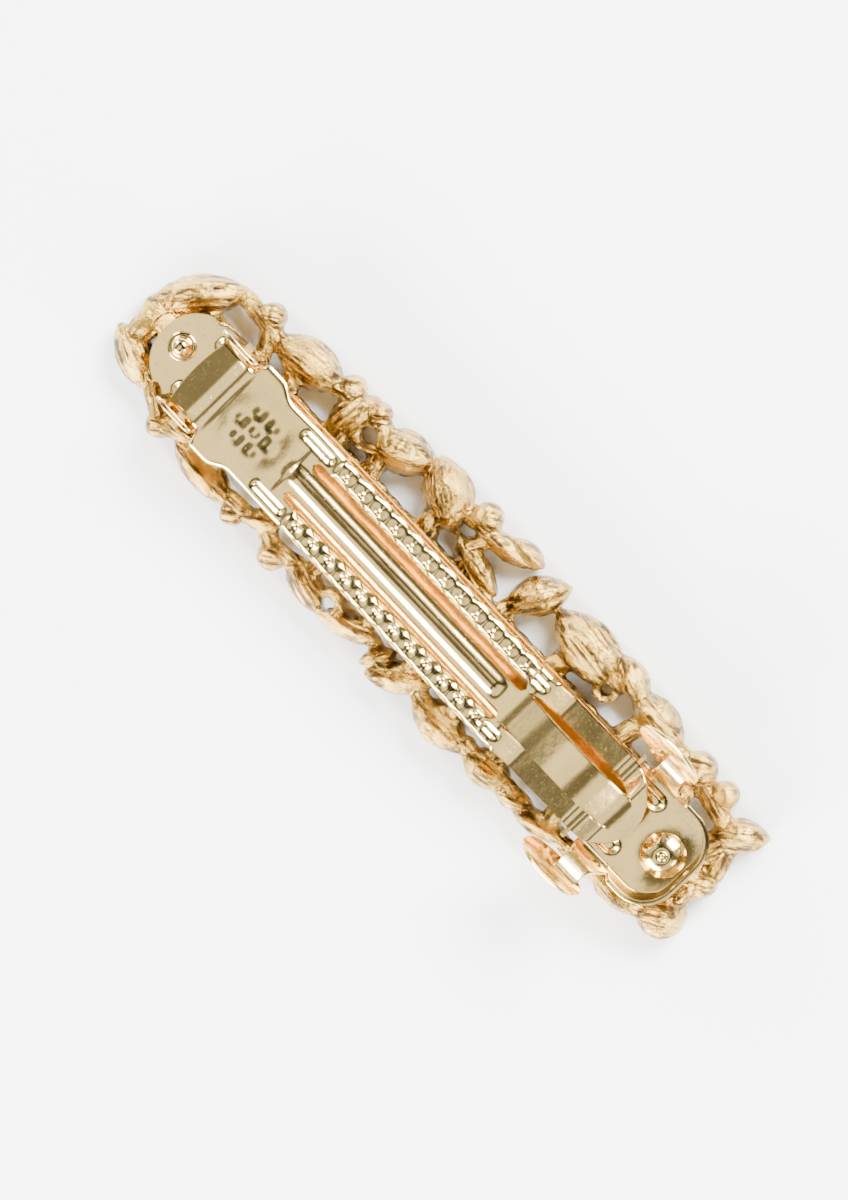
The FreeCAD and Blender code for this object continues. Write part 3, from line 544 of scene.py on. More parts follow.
railPlan = {
    "first": -14.4,
    "pitch": 2.43,
    "count": 12,
    "fade": (0.9, 1.6),
    "crestPower": 1.4,
    "pillow": (0.36, 4.0, 0.95),
    "pit": (0.30, 3.6, 0.45),
    "fold": (0.5, 2.7, 3.2),
    "foldShares": (0.35, 0.65),
    "trough": (0.34, 0.35, 0.45),
    "troughs": ((-20.4, -16.9, 3.75), (13.2, 15.4, 3.6)),
}


def toothPhase(x):
    # distance along the arm from the nearest tooth's middle
    plan = railPlan
    number = round((x - plan["first"]) / plan["pitch"])
    number = min(max(number, 0), plan["count"] - 1)
    return x - plan["first"] - number * plan["pitch"]


def railShape(x, side):
    plan = railPlan
    last = plan["first"] + plan["pitch"] * (plan["count"] - 1)
    near, far = plan["fade"]
    inRail = ease(x, plan["first"] - far, plan["first"] - near)
    inRail *= 1.0 - ease(x, last + near, last + far)
    offset = toothPhase(x)
    wave = math.cos(math.pi * offset / plan["pitch"]) ** 2
    crest = min(abs(offset) * 2 / plan["pitch"], 1.0) ** plan["crestPower"]
    rise, place, reach = plan["pillow"]
    pillow = rise * crest * math.exp(-((side - place) / reach) ** 2)
    depth, place, reach = plan["pit"]
    pit = depth * hollow(offset, side, 0.0, place, reach)
    depth, start, end = plan["fold"]
    steady, waving = plan["foldShares"]
    fold = depth * (1.0 - ease(side, start, end)) * (steady + waving * wave)
    height = inRail * (pillow - pit - fold)
    depth, reachAlong, reachAcross = plan["trough"]
    for start, end, place in plan["troughs"]:
        beyond = max(start - x, 0.0, x - end)
        height -= depth * bulge(beyond, side - place, reachAlong, reachAcross)
    return height


headPlan = {
    "start": -28.6,
    "end": -19.0,
    "middle": -24.4,
    "dome": (0.30, 3.6, 3.4),
    "centreDimple": (0.22, 1.0),
    "ringDimple": (0.21, 1.0),
    "ringRadius": 1.9,
    "ringCount": 6,
    "sagMiddle": -20.2,
    "sag": (0.20, 2.3, 2.6),
}


def headShape(x, y):
    # a low dome with a cluster of dimples, and a sag between it and the slots
    plan = headPlan
    if not plan["start"] < x < plan["end"]:
        return 0.0
    rise, reachX, reachY = plan["dome"]
    height = rise * bulge(x - plan["middle"], y, reachX, reachY)
    depth, radius = plan["centreDimple"]
    height -= depth * hollow(x, y, plan["middle"], 0.0, radius)
    depth, radius = plan["ringDimple"]
    for step in range(plan["ringCount"]):
        turn = math.tau * step / plan["ringCount"]
        height -= depth * hollow(x, y, plan["middle"] + math.cos(turn) * plan["ringRadius"],
                                 math.sin(turn) * plan["ringRadius"], radius)
    depth, reachX, reachY = plan["sag"]
    return height - depth * bulge(x - plan["sagMiddle"], y, reachX, reachY)


ribPlan = {
    "start": (-20.0, -17.8),
    "end": (11.4, 12.8),
    "height": 0.42,
    "side": (0.2, 1.4),
    "crease": (0.10, 0.25, 0.35),
}


def ribShape(x, y):
    plan = ribPlan
    along = ease(x, *plan["start"]) * (1.0 - ease(x, *plan["end"]))
    depth, place, reach = plan["crease"]
    crease = depth * math.exp(-((y - place) / reach) ** 2)
    return along * (plan["height"] * (1.0 - ease(abs(y), *plan["side"])) - crease)


def armHeight(x, y, inner):
    plan = armPlan
    side = abs(y)
    line = plan["mainLine"][:-1] + plan["tongueLine" if inner else "stripLine"]
    onBridge = inner and x > plan["bridgeStart"]
    height = softened(line, x, plan["bridgeFoldReach" if onBridge else "foldReach"])
    height += headShape(x, y)
    if inner:
        height += ribShape(x, y)
    elif x < plan["railEnd"]:
        height += railShape(x, side)
    if x < plan["railEnd"]:
        half = armHalf(x)
        height -= plan["edgeDrop"] * ease(side, half - plan["edgeWidth"], half)
    scaleX, scaleY, seed, reach = plan["wobble"]
    wobble = noise.noise(Vector((x * scaleX, y * scaleY, seed))) * reach
    return height + wobble + sheetPlan["thickness"] / 2


def armPlace(x, track):
    # tracks 0 to 1 lie inside the opening and 2 to 3 outside it, with a minus sign on the right
    plan = armPlan
    middle, reach = gapAt(x)
    half = armHalf(x)
    middleShare, reachShare = plan["tipShares"]
    middle = min(middle, half * middleShare)
    if half < plan["tipNarrow"]:
        reach = min(reach, half * reachShare)
    size = abs(track)
    inner = size < 1.5
    if inner:
        side = size * (middle - reach)
    else:
        side = middle + reach + (size - 2.0) * (half - middle - reach)
    y = math.copysign(side, track)
    onFlap = 1.0 - ease(x, plan["flapEnd"], plan["bowEnd"])
    bow = plan["flapBow"] * (side / plan["flapHalf"]) ** 2 * onFlap
    return x + bow, clipSide + y, armHeight(x, y, inner)


def keepArmFace(row, track):
    return not 1.0 < abs(track) < 2.0


def makeArm(gold):
    plan = armPlan
    rows = spread(plan["flapEnd"], plan["tipMiddle"], plan["step"])
    rows += [plan["tipMiddle"] + plan["half"] * math.sin(turn)
             for turn in quarterTurn(plan["tipSteps"])]
    tracks = [step / plan["innerTracks"] for step in range(plan["innerTracks"] + 1)]
    tracks += [2.0 + step / plan["outerTracks"] for step in range(plan["outerTracks"] + 1)]
    sheet = pressedSheet("clampArm", rows, mirrored(tracks), armPlace, keepArmFace, gold)
    finishPiece(sheet, "clamp_arm", "clip_gold", "clamp_arm")
    lugs = bmesh.new()
    hingeX, hingeZ = plan["hinge"]
    catchX, catchSide, catchZ = plan["catchLugPlace"]
    for side in (-1, 1):
        hingeMiddle = (hingeX, clipSide + side * plan["hingeLugSide"], hingeZ)
        addBar(lugs, hingeMiddle, plan["hingeLug"], 0)
        catchMiddle = (catchX, clipSide + side * catchSide, catchZ)
        addBar(lugs, catchMiddle, plan["catchLug"], side * plan["catchLugTilt"])
    bmesh.ops.bevel(lugs, geom=lugs.edges[:], offset=plan["lugRound"] * mm, affect="EDGES",
                    segments=3, profile=0.5, material=-1)
    finishPiece(meshObject("armLugs", lugs, [gold], False), "clamp_arm", "clip_gold")
    note("clamp arm")


def addBar(shape, middle, extent, tilt):
    made = bmesh.ops.create_cube(shape, size=1.0)["verts"]
    bmesh.ops.scale(shape, verts=made, vec=Vector(extent) * mm)
    spin = Matrix.Rotation(math.radians(tilt), 3, "X")
    bmesh.ops.rotate(shape, verts=made, cent=(0, 0, 0), matrix=spin)
    bmesh.ops.translate(shape, verts=made, vec=Vector(middle) * mm)


# base plate with its ribs, bowl and ears

basePlan = {
    "start": -39.1,
    "end": 38.8,
    "half": 5.0,
    "top": 5.7,
    "step": 0.22,
    "hingeRound": 4.4,
    "hingeSteps": 15,
    "claspRound": 3.2,
    "claspSteps": 12,
    "tracks": 22,
    "wallTracks": 6,
    "notch": (0.55, -35.4, 0.45),
    "ribSide": 3.3,
    "ribHalf": 1.0,
    "ribHeight": 0.4,
    "ribTop": 0.45,
    "ribs": (-34.3, 32.7),
    "wallHeight": 2.3,
    "wallStart": (33.0, 34.2),
    "holes": ((-36.5, 1.3), (36.2, 1.3)),
    "holeShare": 0.7,
    "domeMiddle": 35.9,
    "dome": (0.5, 1.7, 2.5),
    "wobble": (0.3, 0.4, 9.0, 0.03),
    "flare": 0.2,
}


def baseHalf(x):
    plan = basePlan
    half = plan["half"]
    lost = max(0.0, plan["hingeRound"] - (x - plan["start"]))
    if lost:
        corner = math.sqrt(max(0.0, plan["hingeRound"] ** 2 - lost ** 2))
        half += corner - plan["hingeRound"]
    depth, place, reach = plan["notch"]
    half -= depth * math.exp(-((x - place) / reach) ** 2)
    lost = max(0.0, plan["claspRound"] - (plan["end"] - x))
    if lost:
        corner = math.sqrt(max(0.0, plan["claspRound"] ** 2 - lost ** 2))
        half = plan["half"] - plan["claspRound"] + corner
    return half


def baseHeight(x, y):
    plan = basePlan
    start, end = plan["ribs"]
    side = abs(abs(y) - plan["ribSide"])
    beyond = max(start + plan["ribHalf"] - x, 0.0, x - end + plan["ribHalf"])
    far = math.hypot(side, beyond) / plan["ribHalf"]
    rib = plan["ribHeight"] * (1.0 - ease(far, plan["ribTop"], 1.0))
    rise, reachX, reachY = plan["dome"]
    dome = rise * bulge(x - plan["domeMiddle"], y, reachX, reachY)
    scaleX, scaleY, seed, reach = plan["wobble"]
    wobble = noise.noise(Vector((x * scaleX, y * scaleY, seed))) * reach
    return plan["top"] + rib + dome + wobble


def basePlace(row, track):
    # a row is its place along the plate and, in its imaginary part, its share of the end wall
    plan = basePlan
    x, endWall = row.real, row.imag
    y = math.copysign(min(abs(track), 1.0) * baseHalf(x), track)
    wall = plan["wallHeight"] * ease(x, *plan["wallStart"])
    rise = wall * max(abs(track) - 1.0, endWall)
    ahead = max(0.0, 1.0 - (plan["end"] - x) / plan["claspRound"])
    beside = math.sqrt(max(0.0, 1.0 - ahead ** 2))
    outward = math.copysign(plan["flare"] * rise * beside, track)
    forward = plan["flare"] * rise * ahead
    return x + forward, clipSide + y + outward, baseHeight(x, y) + rise


def keepBaseFace(row, track):
    plan = basePlan
    if row.imag > 0.0 and abs(track) > 1.0:
        return False
    for place, radius in plan["holes"]:
        if math.hypot(row.real - place, track * plan["half"]) < radius * plan["holeShare"]:
            return False
    return True


def makeBase(gold):
    plan = basePlan
    hingeEnd = plan["start"] + plan["hingeRound"]
    claspStart = plan["end"] - plan["claspRound"]
    rows = [hingeEnd - plan["hingeRound"] * math.cos(turn)
            for turn in quarterTurn(plan["hingeSteps"])[:-1]]
    rows += spread(hingeEnd, claspStart, plan["step"])
    rows += [claspStart + plan["claspRound"] * math.sin(turn)
             for turn in quarterTurn(plan["claspSteps"])]
    wallTracks = [step / plan["wallTracks"] for step in range(1, plan["wallTracks"] + 1)]
    rows = [complex(x, 0.0) for x in rows] + [complex(plan["end"], step) for step in wallTracks]
    tracks = [step / plan["tracks"] for step in range(plan["tracks"] + 1)]
    tracks += [1 + step for step in wallTracks]
    sheet = pressedSheet("basePlate", rows, mirrored(tracks), basePlace, keepBaseFace, gold)
    finishPiece(sheet, "ornament", "clip_gold", "base_plate")
    makeEar("hingeEarRight", -1, gold)
    makeEar("hingeEarLeft", 1, gold)
    note("base plate")


earPlan = {
    "start": -34.3,
    "end": -29.1,
    "low": 5.35,
    "high": 9.6,
    "hole": 0.62,
    "segments": 40,
    "upperPower": 3.2,
    "lowerPower": 9.0,
    "side": 4.9,
    "lean": 0.015,
    "thickness": 0.5,
    "edgeRound": 0.1,
    "creaseAngle": 40,
}


def makeEar(name, side, gold):
    # a rounded plate standing on edge, with a hole for the arm's lug
    plan = earPlan
    middleX, middleZ = armPlan["hinge"]
    shape = bmesh.new()
    bmesh.ops.create_circle(shape, segments=plan["segments"], radius=plan["hole"])
    outer = bmesh.ops.create_circle(shape, segments=plan["segments"], radius=1.0)["verts"]
    for vert in outer:
        turn = math.atan2(vert.co.y, vert.co.x)
        across, up = math.cos(turn), math.sin(turn)
        reachX = plan["end"] - middleX if across > 0 else middleX - plan["start"]
        reachZ = plan["high"] - middleZ if up > 0 else middleZ - plan["low"]
        power = plan["upperPower"] if up > 0 else plan["lowerPower"]
        share = (abs(across) ** power + abs(up) ** power) ** (-1.0 / power)
        vert.co = Vector((across * share * reachX, up * share * reachZ, 0.0))
    bmesh.ops.bridge_loops(shape, edges=shape.edges[:])
    for vert in shape.verts:
        x, z = vert.co.x + middleX, vert.co.y + middleZ
        outward = plan["side"] + plan["lean"] * (z - plan["low"])
        vert.co = Vector((x, clipSide + side * outward, z)) * mm
    bmesh.ops.recalc_face_normals(shape, faces=shape.faces)
    piece = meshObject(name, shape, [gold])
    addModifier(piece, "SOLIDIFY", thickness=plan["thickness"] * mm, offset=0.0)
    roundEdges(piece, plan["edgeRound"], plan["creaseAngle"])
    finishPiece(piece, "ornament", "clip_gold")


# rivets

rivetPlan = {
    "steps": 40,
    "weld": 0.01,
    "lifts": {"hinge_end_rivet": 0.0, "clasp_end_rivet": 0.3},
    "profiles": {
        "hinge_end_rivet": [
            (0.0, 1.40), (0.35, 1.38), (0.72, 1.22), (0.98, 0.92), (1.08, 0.55), (1.02, 0.32),
            (1.14, 0.25), (1.45, 0.26), (1.58, 0.16), (1.6, 0.0),
        ],
        "clasp_end_rivet": [
            (0.0, 0.45), (0.26, 0.50), (0.45, 0.80), (0.75, 0.88), (1.2, 0.76), (1.8, 0.46),
            (2.2, 0.16), (2.4, 0.02), (2.45, -0.1),
        ],
    },
}


def makeRivet(name, node, gold):
    plan = rivetPlan
    low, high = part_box(node)
    middle = (low + high) / 2
    foot = (basePlan["top"] + plan["lifts"][node]) * mm
    shape = bmesh.new()
    chain = [shape.verts.new(Vector((radius, 0, height)) * mm)
             for radius, height in plan["profiles"][node]]
    edges = [shape.edges.new(pair) for pair in zip(chain, chain[1:])]
    bmesh.ops.spin(shape, geom=chain + edges, cent=(0, 0, 0), axis=(0, 0, 1),
                   angle=math.tau, steps=plan["steps"], use_merge=True)
    bmesh.ops.remove_doubles(shape, verts=shape.verts, dist=plan["weld"] * mm)
    bmesh.ops.translate(shape, verts=shape.verts, vec=(middle.x, middle.y, foot))
    faceUp(shape)
    piece = meshObject(name, shape, [gold])
    addModifier(piece, "SUBSURF", levels=1, render_levels=1)
    finishPiece(piece, "ornament", "rivet_gold", node)
    note(name)


# release wings

wingPlan = {
    "wall": [(5.30, 5.80), (5.42, 6.9), (5.75, 8.0), (6.4, 9.0), (7.4, 9.75), (8.3, 10.1)],
    "start": 28.8,
    "end": 33.8,
    "wallGrid": (12, 16),
    "taper": 1.0,
    "taperReach": (0.1, 0.75),
    "taperShift": 0.3,
    "disc": (29.05, 8.55, 10.35),
    "discHalf": (4.02, 2.2),
    "discSegments": 56,
    "rings": 7,
    "ringStep": 0.13,
    "dish": 0.62,
    "dishReach": (0.05, 0.96),
    "lip": 0.10,
    "lipStart": 0.93,
    "leans": {1: 38.0, -1: 24.0},
    "thickness": 0.42,
    "edgeRound": 0.1,
    "creaseAngle": 40,
}


def wingWall(side):
    plan = wingPlan
    alongSteps, upSteps = plan["wallGrid"]
    stations = plan["wall"]
    wall = bmesh.new()
    bmesh.ops.create_grid(wall, x_segments=alongSteps, y_segments=upSteps, size=1.0)
    for vert in wall.verts:
        up = (vert.co.y + 1) / 2
        along = (vert.co.x + 1) / 2
        place = up * (len(stations) - 1)
        lower = min(int(place), len(stations) - 2)
        foot, head = Vector(stations[lower]), Vector(stations[lower + 1])
        outward, z = foot.lerp(head, place - lower)
        narrow = plan["taper"] * ease(up, *plan["taperReach"])
        start = plan["start"] + narrow * plan["taperShift"]
        x = start + (plan["end"] - plan["start"] - 2 * narrow) * along
        vert.co = Vector((x, clipSide + side * outward, z)) * mm
    return wall


def wingDisc(side):
    plan = wingPlan
    disc = bmesh.new()
    bmesh.ops.create_circle(disc, cap_ends=True, segments=plan["discSegments"], radius=1.0)
    for _ in range(plan["rings"]):
        middle = [face for face in disc.faces if len(face.verts) > 4]
        bmesh.ops.inset_region(disc, faces=middle, thickness=plan["ringStep"],
                               use_even_offset=True)
    longHalf, shortHalf = plan["discHalf"]
    tilt = Matrix.Rotation(side * math.radians(90 - plan["leans"][side]), 3, "X")
    x, outward, z = plan["disc"]
    centre = Vector((x, clipSide + side * outward, z))
    for vert in disc.verts:
        far = math.hypot(vert.co.x, vert.co.y)
        dish = plan["dish"] * (1.0 - ease(far, *plan["dishReach"]))
        depth = dish - plan["lip"] * ease(far, plan["lipStart"], 1.0)
        flat = Vector((vert.co.x * longHalf, -vert.co.y * shortHalf, -depth))
        vert.co = (centre + tilt @ flat) * mm
    return disc


def makeWing(name, node, body, side, gold):
    plan = wingPlan
    parts = (("Wall", wingWall(side), [node]), ("Disc", wingDisc(side), []))
    for part, shape, nodes in parts:
        bmesh.ops.recalc_face_normals(shape, faces=shape.faces)
        piece = meshObject(name + part, shape, [gold])
        addModifier(piece, "SOLIDIFY", thickness=plan["thickness"] * mm, offset=0.0)
        roundEdges(piece, plan["edgeRound"], plan["creaseAngle"])
        finishPiece(piece, body, "clip_gold", *nodes)
    note(name)


# cast ornament
# a leaf or row: middle x, middle y, length, width, heading; a bead or foot: x, y, radius
# a stem: from x, y to x, y, radius; an eyelet: x, y, outer radius, inner radius

castPlan = {
    "upper": [
        (-39.4, 3.7, 11.4, 4.6, 50), (-26.3, 7.2, 9.5, 5.2, 8), (-19.2, 6.6, 7.0, 4.5, 80),
        (-12.7, 7.9, 8.0, 5.0, 25), (-6.4, 8.2, 8.5, 5.8, -35), (2.0, 8.9, 8.0, 2.6, 12),
        (1.0, 5.4, 8.0, 2.4, -12), (4.0, 10.2, 4.5, 2.2, 0), (7.8, 7.7, 7.8, 4.4, 60),
        (15.5, 7.8, 11.0, 6.0, -5), (21.0, 9.0, 6.0, 3.2, -20), (25.8, 7.9, 8.4, 4.4, -5),
        (40.3, 5.8, 6.8, 3.8, 40),
    ],
    "lower": [
        (-39.6, -5.8, 8.4, 4.2, -18), (-26.0, -9.0, 9.4, 3.8, -3), (-18.0, -8.0, 5.0, 2.6, 30),
        (-10.0, -9.3, 7.6, 3.4, -14), (-4.0, -9.0, 9.0, 3.2, 16), (0.7, -9.1, 4.5, 2.0, 60),
        (3.9, -8.9, 8.0, 3.6, 38), (10.3, -9.2, 8.2, 4.4, 0), (17.1, -8.8, 6.5, 4.2, 10),
        (21.3, -8.9, 4.5, 2.4, 25), (25.4, -8.7, 7.5, 2.8, 15), (35.3, -8.0, 7.0, 2.8, 0),
    ],
    "rowEnds": (-35.0, 36.0),
    "rowCount": 13,
    "rowLeaf": (-0.7, 9.0, 4.8, 38.0),
    "beads": [
        (-32.5, 7.8, 1.5), (-21.2, 8.8, 1.4), (-17.3, 8.9, 1.3), (-1.7, 9.6, 1.7),
        (32.4, 7.5, 2.0), (36.2, 7.7, 1.5), (41.2, -0.4, 1.6), (40.6, -5.9, 2.7),
        (-41.4, -0.6, 1.8), (-32.8, -8.9, 1.5), (-20.7, -9.8, 1.3), (-14.6, -9.8, 1.6),
    ],
    "stems": [
        (-35.6, 7.2, -29.6, 6.6, 1.0), (-32.2, 7.6, -29.8, 3.4, 0.9),
        (-36.2, -6.5, -33.0, -8.3, 1.1), (-32.5, -8.2, -29.0, -7.6, 1.0),
        (-26.3, 6.0, -26.0, 3.0, 1.2), (-22.8, 7.6, -20.2, 8.2, 1.0),
        (-18.8, 6.0, -18.6, 3.0, 1.3), (-16.0, 8.2, -13.8, 7.4, 1.2),
        (-14.2, 6.6, -13.4, 3.0, 1.2), (-6.0, 6.8, -5.0, 3.0, 1.4), (-3.4, 8.6, -0.6, 9.0, 1.1),
        (0.2, 8.6, -1.2, 5.6, 0.9), (0.0, 5.2, 0.4, 3.0, 1.0), (6.9, 6.2, 6.2, 3.0, 1.1),
        (14.6, 5.8, 14.0, 3.0, 1.3), (24.8, 6.4, 24.0, 3.0, 1.2), (28.6, 7.2, 31.6, 7.2, 1.2),
        (32.6, 6.4, 33.4, 3.0, 1.2), (33.6, 6.8, 39.6, 5.4, 1.1), (39.6, 4.0, 38.4, 1.4, 1.5),
        (38.2, -0.6, 41.0, -0.2, 1.4), (36.6, -5.0, 39.6, -5.2, 1.5), (40.6, -3.6, 40.8, 0.0, 1.0),
        (40.6, 3.6, 41.4, 1.2, 1.0), (35.2, -7.6, 33.8, -4.4, 1.2), (37.6, -7.4, 39.4, -6.4, 1.2),
        (-38.6, -0.8, -41.0, -0.6, 1.6), (-41.2, 0.4, -41.0, 2.4, 1.3),
        (-41.2, -1.4, -41.0, -4.4, 1.5), (-37.0, -4.4, -35.8, -3.8, 1.4),
        (-26.0, -7.4, -25.6, -4.4, 1.2), (-22.2, -8.8, -19.6, -8.6, 1.0),
        (-18.2, -7.2, -18.0, -4.4, 1.0), (-16.6, -8.4, -15.0, -9.0, 1.0),
        (-14.4, -8.8, -12.0, -8.4, 1.0), (-10.4, -8.0, -10.6, -4.4, 1.0),
        (-2.6, -8.0, -2.4, -4.4, 1.0), (4.0, -8.2, 4.6, -4.4, 1.2), (6.4, -8.4, 7.6, -8.6, 1.0),
        (10.4, -7.6, 10.6, -4.4, 1.3), (13.6, -8.6, 14.6, -8.6, 1.1),
        (17.0, -7.6, 17.0, -4.4, 1.2), (19.6, -8.4, 22.6, -8.6, 1.0),
        (25.6, -8.0, 25.0, -4.4, 1.1), (28.6, -8.2, 32.4, -7.8, 1.0), (-37.0, 3.0, 36.5, 3.0, 1.1),
        (-37.0, -4.4, 36.5, -4.4, 1.1),
    ],
    "eyelets": [(-16.4, 6.7, 1.9, 1.0), (19.7, 6.4, 1.5, 0.7), (-6.8, -8.8, 1.7, 0.8)],
    "feet": [(-36.5, -0.7, 2.6), (36.2, -0.7, 2.6)],
    "front": 0.9,
    "middle": 2.6,
    "top": 5.15,
    "stemDrop": 0.15,
    "stemSides": 28,
    "stemEndGrid": (24, 16),
    "eyeletRise": 0.9,
    "eyeletCut": (-1.0, 7.0),
    "voxel": 0.26,
}

leafPlan = {
    "grid": (56, 44),
    "rimSides": 56,
    "lengthShare": 0.465,
    "widthShare": 0.435,
    "slimPower": 0.28,
    "rise": 0.46,
    "underside": 0.5,
    "twist": 0.14,
    "twistSeed": (0.7, 0.9, 1.0),
    "ridge": 0.15,
    "ridgeReach": 0.20,
    "rimFlare": 0.97,
    "rimTop": -0.3,
}

beadPlan = {
    "grid": (36, 26),
    "postSides": 40,
    "ballShare": 0.94,
    "postTaper": 0.96,
    "postDrop": 0.1,
}

seatPlan = {
    "leastWidth": 3.5,
    "lengthShare": 0.33,
    "widthShare": 0.30,
    "roundShare": 0.66,
    "fit": 0.98,
    "mouth": 1.9,
    "floor": 1.95,
}

settlePlan = {
    "lumps": ((0.9, 0.14), (2.1, 0.10)),
    "lumpFree": 0.4,
    "beadHeading": 35,
    "stemWidth": 1.6,
    "frameGap": 7.0,
}


def everyLeaf():
    first, last = castPlan["rowEnds"]
    side, length, width, heading = castPlan["rowLeaf"]
    count = castPlan["rowCount"]
    leaves = castPlan["upper"] + castPlan["lower"]
    for number in range(count):
        x = first + (last - first) * number / (count - 1)
        leaves.append((x, side, length, width, heading if number % 2 else -heading))
    return leaves


def leafStones():
    # middle, half length, half width and heading of the stone in each wide leaf
    plan = seatPlan
    for x, y, length, width, heading in everyLeaf():
        if width >= plan["leastWidth"]:
            yield x, y, length * plan["lengthShare"], width * plan["widthShare"], heading


def beadStones():
    for x, y, radius in castPlan["beads"]:
        half = radius * seatPlan["roundShare"]
        yield x, y, half, half, 0


def placedShape(shape, x, y, heading=0.0, height=None):
    turn = Matrix.Rotation(math.radians(heading), 3, "Z")
    bmesh.ops.rotate(shape, verts=shape.verts, cent=(0, 0, 0), matrix=turn)
    height = castPlan["middle"] if height is None else height
    bmesh.ops.translate(shape, verts=shape.verts, vec=(x, y, height))
    return shape


def leafPillow(x, y, length, width, heading):
    plan = leafPlan
    across, along = plan["grid"]
    shape = bmesh.new()
    bmesh.ops.create_uvsphere(shape, u_segments=across, v_segments=along, radius=1.0)
    onSide = Matrix.Rotation(math.pi / 2, 3, "Y")
    bmesh.ops.rotate(shape, verts=shape.verts, cent=(0, 0, 0), matrix=onSide)
    scaleX, scaleY, seed = plan["twistSeed"]
    twist = math.copysign(plan["twist"], noise.noise(Vector((x * scaleX, y * scaleY, seed))))
    for vert in shape.verts:
        place, side, up = vert.co
        slim = (1.0 - min(abs(place), 1.0) ** 2) ** plan["slimPower"]
        rise = up * plan["underside"]
        if up > 0:
            ridge = plan["ridge"] * math.exp(-(side / plan["ridgeReach"]) ** 2)
            rise = up * slim * (plan["rise"] + twist * side + ridge)
        vert.co = Vector((place * length * plan["lengthShare"],
                          side * slim * width * plan["widthShare"], rise * width))
    return placedShape(shape, x, y, heading)


def leafRim(x, y, length, width, heading):
    # the upright wall of a leaf: a pointed oval that flares toward the front
    plan = leafPlan
    shape = bmesh.new()
    bmesh.ops.create_cone(shape, cap_ends=True, segments=plan["rimSides"], radius1=1.0,
                          radius2=1.0, depth=1.0)
    low = castPlan["front"] - castPlan["middle"]
    for vert in shape.verts:
        turn = math.atan2(vert.co.y, vert.co.x)
        across = math.cos(turn)
        side = math.copysign(1.0 - across ** 2, math.sin(turn))
        flare, z = (plan["rimFlare"], plan["rimTop"]) if vert.co.z > 0 else (1.0, low)
        vert.co = Vector((across * length / 2 * flare, side * width / 2 * flare, z))
    return placedShape(shape, x, y, heading)


def ball(x, y, radius, grid, height=None):
    segments, rings = grid
    shape = bmesh.new()
    bmesh.ops.create_uvsphere(shape, u_segments=segments, v_segments=rings, radius=radius)
    return placedShape(shape, x, y, 0.0, height)


def post(x, y, radius, low, high):
    shape = bmesh.new()
    bmesh.ops.create_cone(shape, cap_ends=True, segments=beadPlan["postSides"], radius1=radius,
                          radius2=radius * beadPlan["postTaper"], depth=high - low)
    return placedShape(shape, x, y, 0.0, (low + high) / 2)


def stemShapes(startX, startY, endX, endY, radius):
    run = Vector((endX - startX, endY - startY, 0))
    plan = castPlan
    height = plan["middle"] - plan["stemDrop"]
    shape = bmesh.new()
    bmesh.ops.create_cone(shape, cap_ends=True, segments=plan["stemSides"], radius1=radius,
                          radius2=radius, depth=run.length)
    turn = Vector((0, 0, 1)).rotation_difference(run).to_matrix()
    bmesh.ops.rotate(shape, verts=shape.verts, cent=(0, 0, 0), matrix=turn)
    yield placedShape(shape, (startX + endX) / 2, (startY + endY) / 2, 0.0, height)
    yield ball(startX, startY, radius, plan["stemEndGrid"], height)
    yield ball(endX, endY, radius, plan["stemEndGrid"], height)


def castShapes():
    plan = castPlan
    for leaf in everyLeaf():
        yield leafPillow(*leaf)
        yield leafRim(*leaf)
    for x, y, radius in plan["beads"]:
        yield ball(x, y, radius * beadPlan["ballShare"], beadPlan["grid"])
        yield post(x, y, radius, plan["front"], plan["middle"] - beadPlan["postDrop"])
    for stem in plan["stems"]:
        yield from stemShapes(*stem)
    for x, y, outer, _ in plan["eyelets"]:
        yield post(x, y, outer, plan["front"], plan["middle"] + plan["eyeletRise"])
    for x, y, radius in plan["feet"]:
        yield post(x, y, radius, plan["front"], plan["top"])


def joinShapes(name, shapes, materials):
    places, faces = [], []
    for shape in shapes:
        first = len(places)
        shape.verts.index_update()
        places += [vert.co.copy() for vert in shape.verts]
        faces += [[first + vert.index for vert in face.verts] for face in shape.faces]
        shape.free()
    mesh = bpy.data.meshes.new(name)
    mesh.from_pydata(places, [], faces)
    for material in materials:
        mesh.materials.append(material)
    piece = bpy.data.objects.new(name, mesh)
    bpy.context.scene.collection.objects.link(piece)
    return piece


def leafFrames():
    # middle, length, width and heading of every shape the brushing follows
    plan = settlePlan
    frames = everyLeaf()
    for x, y, radius in castPlan["beads"]:
        frames.append((x, y, radius * 2, radius * 2, plan["beadHeading"]))
    for startX, startY, endX, endY, radius in castPlan["stems"]:
        heading = math.degrees(math.atan2(endY - startY, endX - startX))
        length = math.hypot(endX - startX, endY - startY) + radius
        middleX, middleY = (startX + endX) / 2, (startY + endY) / 2
        frames.append((middleX, middleY, length, radius * plan["stemWidth"], heading))
    return frames


def vertexVectors(mesh, name):
    values = np.zeros(len(mesh.vertices) * 3)
    mesh.vertices.foreach_get(name, values)
    return values.reshape(-1, 3)


def addLumps(places, normals):
    plan = settlePlan
    for index, place in enumerate(places):
        if place[2] > castPlan["front"] + plan["lumpFree"]:
            lumps = sum(noise.noise(Vector(place) * scale) * reach
                        for scale, reach in plan["lumps"])
            places[index] = place + normals[index] * lumps


def cutSeats(places):
    plan = seatPlan
    for x, y, halfLength, halfWidth, heading in [*leafStones(), *beadStones()]:
        along, across = turned(places, x, y, heading)
        along, across = along / (halfLength * plan["fit"]), across / (halfWidth * plan["fit"])
        inside = (along ** 2 + across ** 2 < 1.0) & (places[:, 2] < plan["mouth"])
        places[inside, 2] = plan["floor"]


